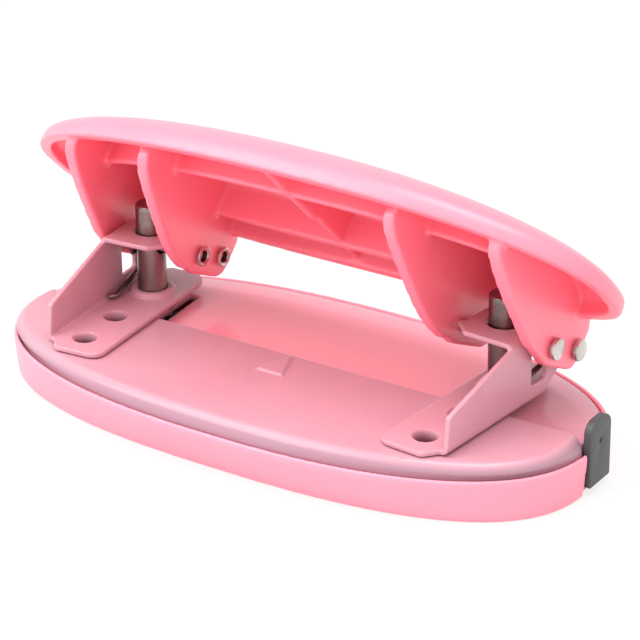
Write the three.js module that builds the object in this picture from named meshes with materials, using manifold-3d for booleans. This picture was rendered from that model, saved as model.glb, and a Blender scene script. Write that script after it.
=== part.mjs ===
// Two-hole desk punch with a long lever handle, shown open.
// Lengths are millimetres. X runs along the two holes, +Y is the side the paper enters, +Z is up.
// The origin lies midway between the punch axes on the plane the tray stands on.

import * as THREE from 'three';
import { mergeVertices } from 'three/addons/utils/BufferGeometryUtils.js';
import Module from 'manifold-3d';

const wasm = await Module();
wasm.setup();

// Stations of the two punches.
const HOLE_SPACING = 80;
const TOE_DEGREES = 4.8;

// Levels and sheets.
const FLANGE_TOP_Z = 12.8;
const BRACKET_SHEET = 1;
const BRACKET_SEAT_GAP = 0.2;
const PLATE_SHEET = 1.2;
const PLATE_STEP_DROP = 1.7;
const PLATE_SKIRT_Z = 7.6;
const PLATE_STEP_Y = -7.8;

// Plan of the base plate at its lower edge, and how its flank leans in on the way up.
const PLATE_HALF_LENGTH = 61.6;
const PLATE_FRONT_Y = -37.6;
const PLATE_BACK_Y = 23.2;
const PLATE_POWER = 2.35;
const PLATE_LEAN_SHARES = [
  // height, front lean, back lean, end lean
  [0, 0, 0, 0],
  [0.25, 0.02, 0.03, 0.05],
  [0.34, 0.04, 0.09, 0.08],
  [0.43, 0.08, 0.28, 0.13],
  [0.58, 0.18, 0.77, 0.3],
  [0.74, 0.33, 0.85, 0.46],
  [0.89, 0.58, 0.92, 0.68],
  [1, 1, 1, 1],
];
const PLATE_FRONT_LEAN = 2.35;
const PLATE_BACK_LEAN = 10;
const PLATE_END_LEAN = 2.6;
const PLATE_END_CUT_X = 60.9;

// Raised centring mark in the front of the plate.
const MARK_APEX_Y = -8.2;
const MARK_X = -1;
const MARK_BASE_Y = -16.5;
const MARK_HALF_WIDTH = 3.1;
const MARK_HEIGHT = 0.42;
const MARK_DRAFT = 0.35;

// Slot in the plate under the inner edge of each bracket, in the bracket's own frame.
const PLATE_SLOT_WIDTH = 1.45;
const PLATE_SLOT_LAP = 1.4;
const PLATE_SLOT_FRONT_V = -8.3;
const PLATE_SLOT_REAR_V = 7;

// Die bushes under the punches.
const DIE_OUTER_RADIUS = 4;
const DIE_COLLAR_RADIUS = 4.85;
const DIE_LENGTH = 2.4;
const DIE_PLAY = 0.06;
const DIE_RELIEF_RADIUS = 3.4;
const DIE_LAND = 1.4;
const DIE_SEAT = 0.12;

// Chip tray.
const TRAY_FLOOR = 1.2;
const TRAY_HALF_LENGTH = 62;
const TRAY_FRONT_Y = -35.7;
const TRAY_BACK_Y = 22.2;
const TRAY_LOW_POWER = 2.6;
const TRAY_EDGE = 0.4;
const TRAY_EDGE_HEIGHT = 0.7;
const TRAY_WALL = 1.5;
const TRAY_TOP_WALL = 1.5;
const TRAY_RIM = 0.8;
const TRAY_RIM_Z = 8.7;
const TRAY_RIM_GAP = 0.25;
const TRAY_LEDGE_GAP = 0.25;
const TRAY_END_X = 61;
const TRAY_END_WALL = 1.5;
const END_NOTCH_PLAY = 0.5;

// Paper guide: a flat ruler in a tunnel of the tray and an upright stop on its end.
const RULER_WIDTH = 7.2;
const RULER_CENTRE_Y = -4.4;
const RULER_LOW_Z = 1.6;
const RULER_THICKNESS = 1.8;
const RULER_LEFT_X = -48;
const RULER_RIGHT_X = 61.1;
const RULER_PLAY = 0.2;
const RULER_NOTCH = 0.45;
const RULER_NOTCH_WIDTH = 1.1;
const RULER_NOTCH_PITCH = 14;
const RULER_NOTCH_FIRST_X = -36;
const RULER_NOTCHES = 6;
const TUNNEL_WALL = 0.9;
const TUNNEL_END_X = -50;
const STOP_INNER_X = 61.25;
const STOP_THICKNESS = 1.6;
const STOP_WIDTH = 7.6;
const STOP_LOW_Z = 1.5;
const STOP_TOP_Z = 14.4;
const STOP_CORNER = 2.5;
const STOP_FOOT_CORNER = 0.5;
const STOP_DIMPLE_RADIUS = 0.6;
const STOP_DIMPLE_DEPTH = 0.4;
const STOP_DIMPLE_Z = 9.9;

// Bracket, in its own frame: u away from the middle, v towards the paper side, h above the lower flange.
const WEB_INNER_U = 6.06;
const BEND_RADIUS = 0.3;
const FLANGE_INNER_U = -6.4;
const FLANGE_FRONT_V = -30.3;
const FLANGE_FRONT_CORNER = 2.5;
const FLANGE_CUT_U = 3.4;
const FLANGE_REAR_V = 11.4;
const FLANGE_REAR_U = 2.9;
const FLANGE_NECK_V = 4.6;
const FLANGE_REAR_CORNER = 4.2;
const FLANGE_SMALL_CORNER = 1.5;
const WEB_FRONT_V = -26.6;
const WEB_FRONT_H = 6.42;
const WEB_FRONT_LEAN = 0.85;
const WEB_FRONT_CORNER = 0.8;
const WEB_HEEL_V = 4.4;
const WEB_HEEL_H = 0.5;
const WEB_NOSE_MARGIN = 3.3;
const WEB_NOSE_LOW_DEGREES = -45;
const WEB_NOSE_TOP_DEGREES = 60;
const TOP_FLANGE_H = 13.06;
const TOP_FLANGE_INNER_U = -6.2;
const TOP_FLANGE_FRONT_V = -7.6;
const TOP_FLANGE_REAR_V = 5.5;
const TOP_FLANGE_TAPER_U = -1;
const TOP_FLANGE_WEB_REAR_V = 3;
const TOP_FLANGE_CHAMFER = 2.5;
const TOP_FLANGE_CORNER = 0.8;
const TOP_FLANGE_REAR_CORNER = 2.4;
const TOP_HOLE_RADIUS = 3.25;
const COLLAR_RADIUS = 4.5;
const COLLAR_HEIGHT = 1;
const COLLAR_EDGE = 0.45;
const WINDOW_FRONT_Y = -1.85;
const WINDOW_REAR_Y = 3;
const WINDOW_LOW_H = 2.5;
const WINDOW_TOP_H = 11.6;
const WINDOW_CORNER = 0.8;

// Eyelets that rivet each bracket to the plate.
const EYELET_U = 0.23;
const EYELET_FRONT_V = -24.4;
const EYELET_REAR_V = -13.5;
const EYELET_BORE = 2.23;
const EYELET_WALL = 0.55;
const EYELET_RIM_RADIUS = 3.2;
const EYELET_RIM_HEIGHT = 0.4;
const EYELET_DISH = 0.45;
const EYELET_SEAT = 0.12;
const EYELET_PLAY = 0.12;
const EYELET_TAIL_RADIUS = 3.5;
const EYELET_TAIL_HEIGHT = 0.6;

// Punches.
const PUNCH_RADIUS = 2.88;
const PUNCH_PLAY = 0.09;
const PUNCH_TOP_H = 18.9;
const PUNCH_LOW_H = -0.9;
const PUNCH_EDGE = 0.45;
const PUNCH_SADDLE = 1.1;
const PUNCH_SADDLE_FLAT = 0.25;
const PUNCH_RING_DEPTH = 0.12;
const PUNCH_RING_WIDTH = 0.3;
const PUNCH_RING_H = 16.9;
const PUNCH_SLOT_PLAY = 0.15;

// Lever geometry of the handle: where the hinge is and how the drive pin sits from it when open.
const HINGE_Y = 7.95;
const HINGE_H = 7;
const LEVER = 8.18;
const LEVER_OPEN_DEGREES = 22.65;
const OPEN_DEGREES = 43.8;

// Pins.
const PIN_RADIUS = 1.3;
const PIN_HEAD_RADIUS = 2.1;
const PIN_HEAD_HEIGHT = 0.9;
const PIN_HEAD_EDGE = 0.15;
const PIN_FLARE_RADIUS = 2.05;
const PIN_FLARE_HEIGHT = 0.8;
const PIN_BORE_RADIUS = 0.95;
const PIN_MOUTH_RADIUS = 1.6;
const PIN_BORE_DEPTH = 3.2;
const PIN_FACE_GAP = 0.28;
const PIN_EAR_PLAY = 0.1;
const PIN_WEB_PLAY = 0.08;

// Torsion springs.
const WIRE_RADIUS = 0.6;
const COIL_RADIUS = 2.6;
const COIL_PITCH = 2.1;
const COIL_OUTER_X = 45.55;
const SPRING_FOOT_X = 43.6;
const SPRING_FOOT_Y = -7.4;
const SPRING_FOOT_H = 0.9;
const SPRING_HOOK_X = 44.5;
const SPRING_HOOK_Y = -8.6;
const SPRING_ARM_X = 44.1;
const SPRING_ARM_Y = -1.2;
const SPRING_ARM_H = 7.72;

// Handle shell, in its closed frame measured from the hinge: p towards the paper side, q up.
const HANDLE_HALF_LENGTH = 62.7;
const HANDLE_MID_P = -17.4;
const HANDLE_FRONT_DEPTH = 28.4;
const HANDLE_FRONT_POWER = 2.3;
const HANDLE_BACK_DEPTH = 20;
const HANDLE_BACK_POWER = 2.8;
const HANDLE_RIM_Q = 5.1;
const HANDLE_WALL_HEIGHT = 1.85;
const HANDLE_DOME_HEIGHT = 8.8;
const HANDLE_DOME_POWER = 2.4;
const HANDLE_DOME_END_POWER = 2;
const HANDLE_WALL = 2.45;
const HANDLE_TOP_WALL = 2.2;
const DOME_SHARES = [0.28, 0.52, 0.72, 0.87, 0.96, 0.993];

// Ribs inside the handle.
const RIB_THICKNESS = 1.5;
const RIB_SETBACK = 0.7;
const FRONT_RIB_DEPTH = 13.8;
const FRONT_RIB_HALF_LENGTH = 49.4;
const REAR_RIB_P = -7.2;
const REAR_RIB_BOW = 0.9;
const MIDDLE_RIB_STEP = 0.7;
const MIDDLE_RIB_STEP_P = -20;

// Ears of the handle that carry the pins.
const EAR_THICKNESS = 2.3;
const EAR_ROOT_GROWTH_SHARE = 0.16;
const EAR_PIN_P = -3.8;
const INNER_EAR_X = 29.9;
const OUTER_EAR_X = 49.15;
const INNER_EAR_NOSE = 4.3;
const INNER_EAR_NOSE_P = 0;
const INNER_EAR_NOSE_Q = 0;
const INNER_EAR_BELLY = 3.9;
const OUTER_EAR_NOSE = 3.3;
const OUTER_EAR_NOSE_P = -1;
const OUTER_EAR_NOSE_Q = -1.1;
const OUTER_EAR_BELLY = 3.2;
const INNER_EAR_FRONT = [
  [-40.7, 5.3],
  [-41, 3.4],
  [-38.6, 1.1],
  [-33.5, -1.2],
  [-26.5, -3.9],
  [-20.5, -6.1],
  [-15.5, -7.2],
  [-11, -7.35],
];
const OUTER_EAR_FRONT = [
  [-37, 5.3],
  [-36.8, 3.3],
  [-33.6, 1.2],
  [-27.2, -1.5],
  [-20.4, -3.8],
  [-14.6, -5.7],
];
const EAR_LUG_RISE = 2.2;
const EAR_LUG_LEAN = 1.3;
const EAR_LUG_DEPTH = 7;

// How finely curved shapes are cut.
const WELD = 0.0005;
const OVERCUT = 5;
const SKIN = 0.02;
const PLAN_STEPS = 56;
const ARC_STEPS = 4;
const ROUND_STEPS = 24;
const WIRE_SIDES = 5;
const COIL_STEPS = 8;

// Values that follow from the ones above.
const STATION_X = HOLE_SPACING / 2;
const TOE = THREE.MathUtils.degToRad(TOE_DEGREES);
const OPEN = THREE.MathUtils.degToRad(OPEN_DEGREES);
const LEVER_OPEN = THREE.MathUtils.degToRad(LEVER_OPEN_DEGREES);
const HINGE_Z = FLANGE_TOP_Z + HINGE_H;
const DRIVE_Y = HINGE_Y - LEVER * Math.cos(LEVER_OPEN);
const DRIVE_Z = HINGE_Z + LEVER * Math.sin(LEVER_OPEN);
const DRIVE_P = -LEVER * Math.cos(LEVER_OPEN - OPEN);
const DRIVE_Q = LEVER * Math.sin(LEVER_OPEN - OPEN);
const PLATE_TOP_Z = FLANGE_TOP_Z - BRACKET_SHEET - BRACKET_SEAT_GAP;
const PLATE_REAR_Z = PLATE_TOP_Z - PLATE_STEP_DROP;
const TRAY_LEDGE_Z = PLATE_SKIRT_Z - TRAY_LEDGE_GAP;
const HANDLE_TOP_Q = HANDLE_RIM_Q + HANDLE_WALL_HEIGHT + HANDLE_DOME_HEIGHT;

// Geometry helpers.

function solid(geometry) {
  const bare = new THREE.BufferGeometry();
  bare.setAttribute('position', geometry.getAttribute('position').clone());
  bare.setIndex(geometry.index);
  const merged = mergeVertices(bare, WELD);
  const corners = merged.index.array;
  const kept = [];
  for (let i = 0; i < corners.length; i += 3) {
    const [a, b, c] = corners.slice(i, i + 3);
    if (a !== b && b !== c && c !== a) kept.push(a, b, c);
  }
  const vertProperties = new Float32Array(merged.getAttribute('position').array);
  const triVerts = new Uint32Array(kept);
  return new wasm.Manifold(new wasm.Mesh({ numProp: 3, vertProperties, triVerts }));
}

function geometryOf(body) {
  const mesh = body.getMesh();
  const geometry = new THREE.BufferGeometry();
  geometry.setAttribute('position', new THREE.BufferAttribute(mesh.vertProperties, 3));
  geometry.setIndex(new THREE.BufferAttribute(mesh.triVerts, 1));
  geometry.computeVertexNormals();
  return geometry;
}

function joined(bodies) {
  return bodies.reduce((sum, body) => sum.add(body));
}

function without(body, cutters) {
  return cutters.reduce((rest, cutter) => rest.subtract(cutter), body);
}

function mirrored(geometry) {
  const copy = geometry.clone();
  copy.scale(-1, 1, 1);
  const index = copy.index.array;
  for (let i = 0; i < index.length; i += 3) {
    [index[i], index[i + 1]] = [index[i + 1], index[i]];
  }
  copy.computeVertexNormals();
  return copy;
}

function block(x0, x1, y0, y1, z0, z1) {
  const geometry = new THREE.BoxGeometry(x1 - x0, y1 - y0, z1 - z0);
  return geometry.translate((x0 + x1) / 2, (y0 + y1) / 2, (z0 + z1) / 2);
}

function uprightRod(x, y, radius, z0, z1) {
  const geometry = new THREE.CylinderGeometry(radius, radius, z1 - z0, ROUND_STEPS);
  return geometry.rotateX(Math.PI / 2).translate(x, y, (z0 + z1) / 2);
}

function crossRod(y, z, radius, x0, x1) {
  const geometry = new THREE.CylinderGeometry(radius, radius, x1 - x0, ROUND_STEPS);
  return geometry.rotateZ(Math.PI / 2).translate((x0 + x1) / 2, y, z);
}

// A body of revolution about Z from [radius, height] pairs that start and end on the axis
// or close on themselves.
function turned(profile) {
  const points = profile.map(([radius, height]) => new THREE.Vector2(radius, height));
  return new THREE.LatheGeometry(points, ROUND_STEPS).rotateX(Math.PI / 2);
}

// The same body laid along X, its heights running away from the middle.
function turnedAcross(profile, y, z) {
  return turned(profile).rotateY(Math.PI / 2).translate(0, y, z);
}

// Corners given as [a, b, radius] become a polyline with rounded corners.
function outline(corners) {
  const spots = corners.map(([a, b]) => new THREE.Vector2(a, b));
  const points = [];
  corners.forEach(([, , radius], i) => {
    const here = spots[i];
    if (!radius) {
      points.push(here.clone());
      return;
    }
    const back = spots[(i + spots.length - 1) % spots.length].clone().sub(here).normalize();
    const on = spots[(i + 1) % spots.length].clone().sub(here).normalize();
    const half = Math.acos(THREE.MathUtils.clamp(back.dot(on), -1, 1)) / 2;
    const toCentre = back.clone().add(on).normalize().multiplyScalar(radius / Math.sin(half));
    const centre = here.clone().add(toCentre);
    const reach = radius / Math.tan(half);
    const start = here.clone().add(back.multiplyScalar(reach)).sub(centre).angle();
    const end = here.clone().add(on.multiplyScalar(reach)).sub(centre).angle();
    const sweep = Math.atan2(Math.sin(end - start), Math.cos(end - start));
    for (let k = 0; k <= ARC_STEPS; k += 1) {
      const turn = start + (sweep * k) / ARC_STEPS;
      points.push(new THREE.Vector2(Math.cos(turn), Math.sin(turn)).multiplyScalar(radius).add(centre));
    }
  });
  return points;
}

// A plan outline pulled up from z0 to z1.
function planPrism(points, z0, z1) {
  const shape = new THREE.Shape(points);
  const geometry = new THREE.ExtrudeGeometry(shape, { depth: z1 - z0, bevelEnabled: false });
  return geometry.translate(0, 0, z0);
}

// A side outline in (y, z) pulled along X from x0 to x1.
function sidePrism(points, x0, x1) {
  const turn = new THREE.Matrix4().set(0, 0, 1, 0, 1, 0, 0, 0, 0, 1, 0, 0, 0, 0, 0, 1);
  return planPrism(points, x0, x1).applyMatrix4(turn);
}

// An end outline in (x, z) pulled along Y from y0 to y1.
function endPrism(points, y0, y1) {
  return planPrism(points, -y1, -y0).rotateX(Math.PI / 2);
}

// Two half superellipses that meet at the tips (half, mid) and (-half, mid).
function lens({ half, mid, front, frontPower, back, backPower }) {
  const points = [];
  for (let k = 0; k < PLAN_STEPS; k += 1) {
    const turn = (k / PLAN_STEPS) * 2 * Math.PI;
    const behind = turn < Math.PI;
    const power = behind ? backPower : frontPower;
    const along = Math.sign(Math.cos(turn)) * Math.abs(Math.cos(turn)) ** (2 / power);
    const aside = Math.sign(Math.sin(turn)) * Math.abs(Math.sin(turn)) ** (2 / power);
    points.push(new THREE.Vector2(half * along, mid + (behind ? back : front) * aside));
  }
  return points;
}

// A closed body through rings of equally many points, lowest ring first.
function loft(rings) {
  const count = rings[0].points.length;
  const position = [];
  const index = [];
  for (const { z, points } of rings) {
    for (const point of points) position.push(point.x, point.y, z);
  }
  for (let level = 0; level + 1 < rings.length; level += 1) {
    for (let k = 0; k < count; k += 1) {
      const a = level * count + k;
      const b = level * count + ((k + 1) % count);
      index.push(a, b, b + count, a, b + count, a + count);
    }
  }
  const lowest = rings[0];
  const highest = rings[rings.length - 1];
  for (const [ring, first, down] of [[lowest, 0, true], [highest, (rings.length - 1) * count, false]]) {
    const middle = new THREE.Vector2();
    for (const point of ring.points) middle.add(point);
    middle.divideScalar(count);
    const centre = position.length / 3;
    position.push(middle.x, middle.y, ring.z);
    for (let k = 0; k < count; k += 1) {
      const a = first + k;
      const b = first + ((k + 1) % count);
      if (down) index.push(centre, b, a);
      else index.push(centre, a, b);
    }
  }
  const geometry = new THREE.BufferGeometry();
  geometry.setAttribute('position', new THREE.Float32BufferAttribute(position, 3));
  geometry.setIndex(index);
  return geometry;
}

// A ring of an oval that reaches from front to back, both given as places on Y.
function ovalRing(z, half, front, back, power = PLATE_POWER) {
  const mid = (front + back) / 2;
  const reach = (back - front) / 2;
  const sides = { front: reach, frontPower: power, back: reach, backPower: power };
  return { z, points: lens({ half, mid, ...sides }) };
}

// Base plate.

function plateLoft(inset, drop) {
  const rings = PLATE_LEAN_SHARES.map(([height, front, back, end]) => ovalRing(
    THREE.MathUtils.lerp(PLATE_SKIRT_Z, PLATE_TOP_Z, height) - drop,
    PLATE_HALF_LENGTH - PLATE_END_LEAN * end - inset,
    PLATE_FRONT_Y + PLATE_FRONT_LEAN * front + inset,
    PLATE_BACK_Y - PLATE_BACK_LEAN * back - inset,
  ));
  return solid(loft(rings));
}

// Everything behind a line on Y and above a level, cut away to make the rear step.
function rearBlock(y, z) {
  return solid(block(-HOLE_SPACING, HOLE_SPACING, y, HOLE_SPACING, z, z + HOLE_SPACING));
}

function eyeletSpots() {
  const spots = [];
  for (const v of [EYELET_FRONT_V, EYELET_REAR_V]) {
    spots.push(new THREE.Vector2(EYELET_U, v).rotateAround(new THREE.Vector2(), -TOE));
  }
  return spots.map((spot) => spot.add(new THREE.Vector2(STATION_X, 0)));
}

function mark() {
  const ring = (z, inset) => {
    const half = MARK_HALF_WIDTH - inset;
    const base = MARK_BASE_Y + inset;
    const corners = [[-half, base], [half, base], [0, MARK_APEX_Y - 2 * inset]];
    return { z, points: corners.map(([x, y]) => new THREE.Vector2(MARK_X + x, y)) };
  };
  const low = PLATE_TOP_Z - PLATE_SHEET / 2;
  return solid(loft([ring(low, 0), ring(PLATE_TOP_Z, 0), ring(PLATE_TOP_Z + MARK_HEIGHT, MARK_DRAFT)]));
}

// Notch in the +X end that the guide's stop stands in, or the wall round it where a margin is given.
function endNotch(x, margin) {
  const aside = STOP_WIDTH / 2 + END_NOTCH_PLAY + margin;
  const front = RULER_CENTRE_Y - aside;
  const back = RULER_CENTRE_Y + aside;
  return solid(block(x - margin, x + HOLE_SPACING, front, back, -OVERCUT, HOLE_SPACING));
}

function plateSlot() {
  const outer = FLANGE_INNER_U + PLATE_SLOT_LAP;
  const inner = outer - PLATE_SLOT_WIDTH;
  const slot = block(inner, outer, PLATE_SLOT_FRONT_V, PLATE_SLOT_REAR_V, 0, PLATE_TOP_Z + OVERCUT);
  return slot.rotateZ(-TOE).translate(STATION_X, 0, 0);
}

function basePlate() {
  const outside = plateLoft(0, 0).subtract(rearBlock(PLATE_STEP_Y, PLATE_REAR_Z));
  const under = PLATE_REAR_Z - PLATE_SHEET;
  const hollow = without(plateLoft(PLATE_SHEET, PLATE_SHEET), [
    rearBlock(PLATE_STEP_Y - PLATE_SHEET, under),
    endNotch(PLATE_END_CUT_X, PLATE_SHEET),
  ]);
  const slot = plateSlot();
  const cutters = [endNotch(PLATE_END_CUT_X, 0), hollow, solid(slot), solid(mirrored(slot))];
  for (const side of [-1, 1]) {
    const dieHole = DIE_OUTER_RADIUS + DIE_SEAT;
    cutters.push(solid(uprightRod(side * STATION_X, 0, dieHole, 0, PLATE_TOP_Z + OVERCUT)));
    for (const spot of eyeletSpots()) {
      const hole = EYELET_BORE + EYELET_WALL + EYELET_PLAY;
      cutters.push(solid(uprightRod(side * spot.x, spot.y, hole, 0, PLATE_TOP_Z + OVERCUT)));
      const tail = EYELET_TAIL_RADIUS + EYELET_PLAY;
      cutters.push(solid(uprightRod(side * spot.x, spot.y, tail, 0, PLATE_TOP_Z - PLATE_SHEET)));
    }
  }
  return geometryOf(without(outside.add(mark()), cutters));
}

// Die bush: a land the punch fits, a wider relief below, and a collar under the plate.
function dieBush() {
  const top = PLATE_REAR_Z;
  const collar = top - PLATE_SHEET - DIE_SEAT;
  const bore = PUNCH_RADIUS + DIE_PLAY;
  const profile = [
    [bore, top],
    [bore, top - DIE_LAND],
    [DIE_RELIEF_RADIUS, top - DIE_LAND],
    [DIE_RELIEF_RADIUS, top - DIE_LENGTH],
    [DIE_COLLAR_RADIUS, top - DIE_LENGTH],
    [DIE_COLLAR_RADIUS, collar],
    [DIE_OUTER_RADIUS, collar],
    [DIE_OUTER_RADIUS, top],
    [bore, top],
  ];
  return geometryOf(solid(turned(profile).translate(STATION_X, 0, 0)));
}

// Chip tray.

function trayRing(z, inset) {
  const half = TRAY_HALF_LENGTH - inset;
  return ovalRing(z, half, TRAY_FRONT_Y + inset, TRAY_BACK_Y - inset, TRAY_LOW_POWER);
}

function trayOutside() {
  const rimHalf = PLATE_HALF_LENGTH + TRAY_RIM_GAP + TRAY_RIM;
  const rimFront = PLATE_FRONT_Y - TRAY_RIM_GAP - TRAY_RIM;
  const rimBack = PLATE_BACK_Y + TRAY_RIM_GAP + TRAY_RIM;
  return solid(loft([
    trayRing(0, TRAY_EDGE),
    trayRing(TRAY_EDGE_HEIGHT, 0),
    ovalRing(TRAY_LEDGE_Z, rimHalf, rimFront, rimBack),
    ovalRing(TRAY_RIM_Z, rimHalf, rimFront, rimBack),
  ]));
}

function trayInside() {
  const topHalf = PLATE_HALF_LENGTH - TRAY_TOP_WALL;
  const topFront = PLATE_FRONT_Y + TRAY_TOP_WALL;
  const topBack = PLATE_BACK_Y - TRAY_TOP_WALL;
  const low = trayRing(TRAY_FLOOR, TRAY_WALL);
  const space = solid(loft([low, ovalRing(TRAY_LEDGE_Z + SKIN, topHalf, topFront, topBack)]));
  const rebate = solid(loft([TRAY_LEDGE_Z, TRAY_RIM_Z + OVERCUT].map((z) => ovalRing(
    z,
    PLATE_HALF_LENGTH + TRAY_RIM_GAP,
    PLATE_FRONT_Y - TRAY_RIM_GAP,
    PLATE_BACK_Y + TRAY_RIM_GAP,
  ))));
  return [space.subtract(endNotch(TRAY_END_X, TRAY_END_WALL)), rebate];
}

function chipTray() {
  const front = RULER_CENTRE_Y - RULER_WIDTH / 2 - RULER_PLAY;
  const back = RULER_CENTRE_Y + RULER_WIDTH / 2 + RULER_PLAY;
  const roof = RULER_LOW_Z + RULER_THICKNESS + RULER_PLAY;
  const shell = without(trayOutside(), trayInside());
  const tunnel = solid(block(
    TUNNEL_END_X - TUNNEL_WALL,
    TRAY_END_X,
    front - TUNNEL_WALL,
    back + TUNNEL_WALL,
    TRAY_FLOOR - SKIN,
    roof + TUNNEL_WALL,
  ));
  const way = solid(block(TUNNEL_END_X, TRAY_END_X + OVERCUT, front, back, RULER_LOW_Z - RULER_PLAY, roof));
  return geometryOf(shell.add(tunnel).subtract(endNotch(TRAY_END_X, 0)).subtract(way));
}

// Paper guide.

function guideRuler() {
  const front = RULER_CENTRE_Y - RULER_WIDTH / 2;
  const back = RULER_CENTRE_Y + RULER_WIDTH / 2;
  const top = RULER_LOW_Z + RULER_THICKNESS;
  const notches = [];
  for (let k = 0; k < RULER_NOTCHES; k += 1) {
    const x = RULER_NOTCH_FIRST_X + k * RULER_NOTCH_PITCH;
    notches.push(solid(block(x, x + RULER_NOTCH_WIDTH, front - OVERCUT, back + OVERCUT,
      top - RULER_NOTCH, top + OVERCUT)));
  }
  const bar = solid(block(RULER_LEFT_X, RULER_RIGHT_X, front, back, RULER_LOW_Z, top));
  return geometryOf(without(bar, notches));
}

function guideStop() {
  const front = RULER_CENTRE_Y - STOP_WIDTH / 2;
  const back = RULER_CENTRE_Y + STOP_WIDTH / 2;
  const side = outline([
    [front, STOP_LOW_Z, STOP_FOOT_CORNER],
    [back, STOP_LOW_Z, STOP_FOOT_CORNER],
    [back, STOP_TOP_Z, STOP_CORNER],
    [front, STOP_TOP_Z, STOP_CORNER],
  ]);
  const outer = STOP_INNER_X + STOP_THICKNESS;
  const dimple = solid(crossRod(
    RULER_CENTRE_Y,
    STOP_DIMPLE_Z,
    STOP_DIMPLE_RADIUS,
    outer - STOP_DIMPLE_DEPTH,
    outer + OVERCUT,
  ));
  return geometryOf(solid(sidePrism(side, STOP_INNER_X, outer)).subtract(dimple));
}

// Bracket: a sheet bent to a channel, trimmed in plan for each flange and in side view for the web.

function channel() {
  const outer = WEB_INNER_U + BRACKET_SHEET;
  const roof = TOP_FLANGE_H;
  const outerBend = BEND_RADIUS + BRACKET_SHEET;
  const points = outline([
    [-STATION_X, -BRACKET_SHEET, 0],
    [outer, -BRACKET_SHEET, outerBend],
    [outer, roof, outerBend],
    [-STATION_X, roof, 0],
    [-STATION_X, roof - BRACKET_SHEET, 0],
    [WEB_INNER_U, roof - BRACKET_SHEET, BEND_RADIUS],
    [WEB_INNER_U, 0, BEND_RADIUS],
    [-STATION_X, 0, 0],
  ]);
  return solid(endPrism(points, -STATION_X, STATION_X));
}

function lowerFlangeTrim() {
  const outer = WEB_INNER_U + BRACKET_SHEET;
  const points = outline([
    [FLANGE_INNER_U, FLANGE_FRONT_V, FLANGE_FRONT_CORNER],
    [FLANGE_CUT_U, FLANGE_FRONT_V, FLANGE_SMALL_CORNER],
    [WEB_INNER_U, WEB_FRONT_V, 0],
    [outer, WEB_FRONT_V, 0],
    [outer, FLANGE_NECK_V, 0],
    [WEB_INNER_U - BEND_RADIUS, FLANGE_NECK_V, FLANGE_SMALL_CORNER],
    [FLANGE_REAR_U, FLANGE_REAR_V, FLANGE_SMALL_CORNER],
    [FLANGE_INNER_U, FLANGE_REAR_V, FLANGE_REAR_CORNER],
  ]);
  return solid(planPrism(points, -BRACKET_SHEET - OVERCUT, BEND_RADIUS + SKIN));
}

function topFlangeTrim() {
  const outer = WEB_INNER_U + BRACKET_SHEET;
  const points = outline([
    [TOP_FLANGE_INNER_U, TOP_FLANGE_FRONT_V + TOP_FLANGE_CHAMFER, TOP_FLANGE_CORNER],
    [TOP_FLANGE_INNER_U + TOP_FLANGE_CHAMFER, TOP_FLANGE_FRONT_V, TOP_FLANGE_CORNER],
    [outer, TOP_FLANGE_FRONT_V, 0],
    [outer, TOP_FLANGE_WEB_REAR_V, 0],
    [TOP_FLANGE_TAPER_U, TOP_FLANGE_REAR_V, TOP_FLANGE_REAR_CORNER],
    [TOP_FLANGE_INNER_U, TOP_FLANGE_REAR_V, TOP_FLANGE_REAR_CORNER],
  ]);
  return solid(planPrism(points, TOP_FLANGE_H - BRACKET_SHEET - BEND_RADIUS, TOP_FLANGE_H + OVERCUT));
}

// The web is trimmed by a rounded nose about the hinge, a slanting top edge and a cut heel.
function webTrim() {
  const brow = TOP_FLANGE_H - BRACKET_SHEET;
  const hinge = new THREE.Vector2(HINGE_Y, HINGE_H);
  const low = THREE.MathUtils.degToRad(WEB_NOSE_LOW_DEGREES);
  const high = THREE.MathUtils.degToRad(WEB_NOSE_TOP_DEGREES);
  const nose = [];
  for (let k = 0; k <= ARC_STEPS * 2; k += 1) {
    const turn = THREE.MathUtils.lerp(low, high, k / (ARC_STEPS * 2));
    nose.push(new THREE.Vector2(Math.cos(turn), Math.sin(turn)).multiplyScalar(WEB_NOSE_MARGIN).add(hinge));
  }
  const front = outline([
    [WEB_HEEL_V, -BRACKET_SHEET - OVERCUT, 0],
    [WEB_HEEL_V, WEB_HEEL_H, 0],
  ]);
  const top = outline([
    [TOP_FLANGE_WEB_REAR_V, brow, 0],
    [TOP_FLANGE_WEB_REAR_V, TOP_FLANGE_H + OVERCUT, 0],
    [TOP_FLANGE_FRONT_V, TOP_FLANGE_H + OVERCUT, 0],
    [TOP_FLANGE_FRONT_V, brow, 0],
    [WEB_FRONT_V, WEB_FRONT_H, WEB_FRONT_CORNER],
    [WEB_FRONT_V - WEB_FRONT_LEAN, -BRACKET_SHEET, 0],
    [WEB_FRONT_V - WEB_FRONT_LEAN, -BRACKET_SHEET - OVERCUT, 0],
  ]);
  const points = [...front, ...nose, ...top];
  return solid(sidePrism(points, WEB_INNER_U - BEND_RADIUS, WEB_INNER_U + BRACKET_SHEET + OVERCUT));
}

function collar() {
  const profile = [
    [0, -SKIN],
    [COLLAR_RADIUS, -SKIN],
    [COLLAR_RADIUS, COLLAR_HEIGHT - COLLAR_EDGE],
    [COLLAR_RADIUS - COLLAR_EDGE, COLLAR_HEIGHT],
    [0, COLLAR_HEIGHT],
  ];
  return solid(turned(profile));
}

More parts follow.
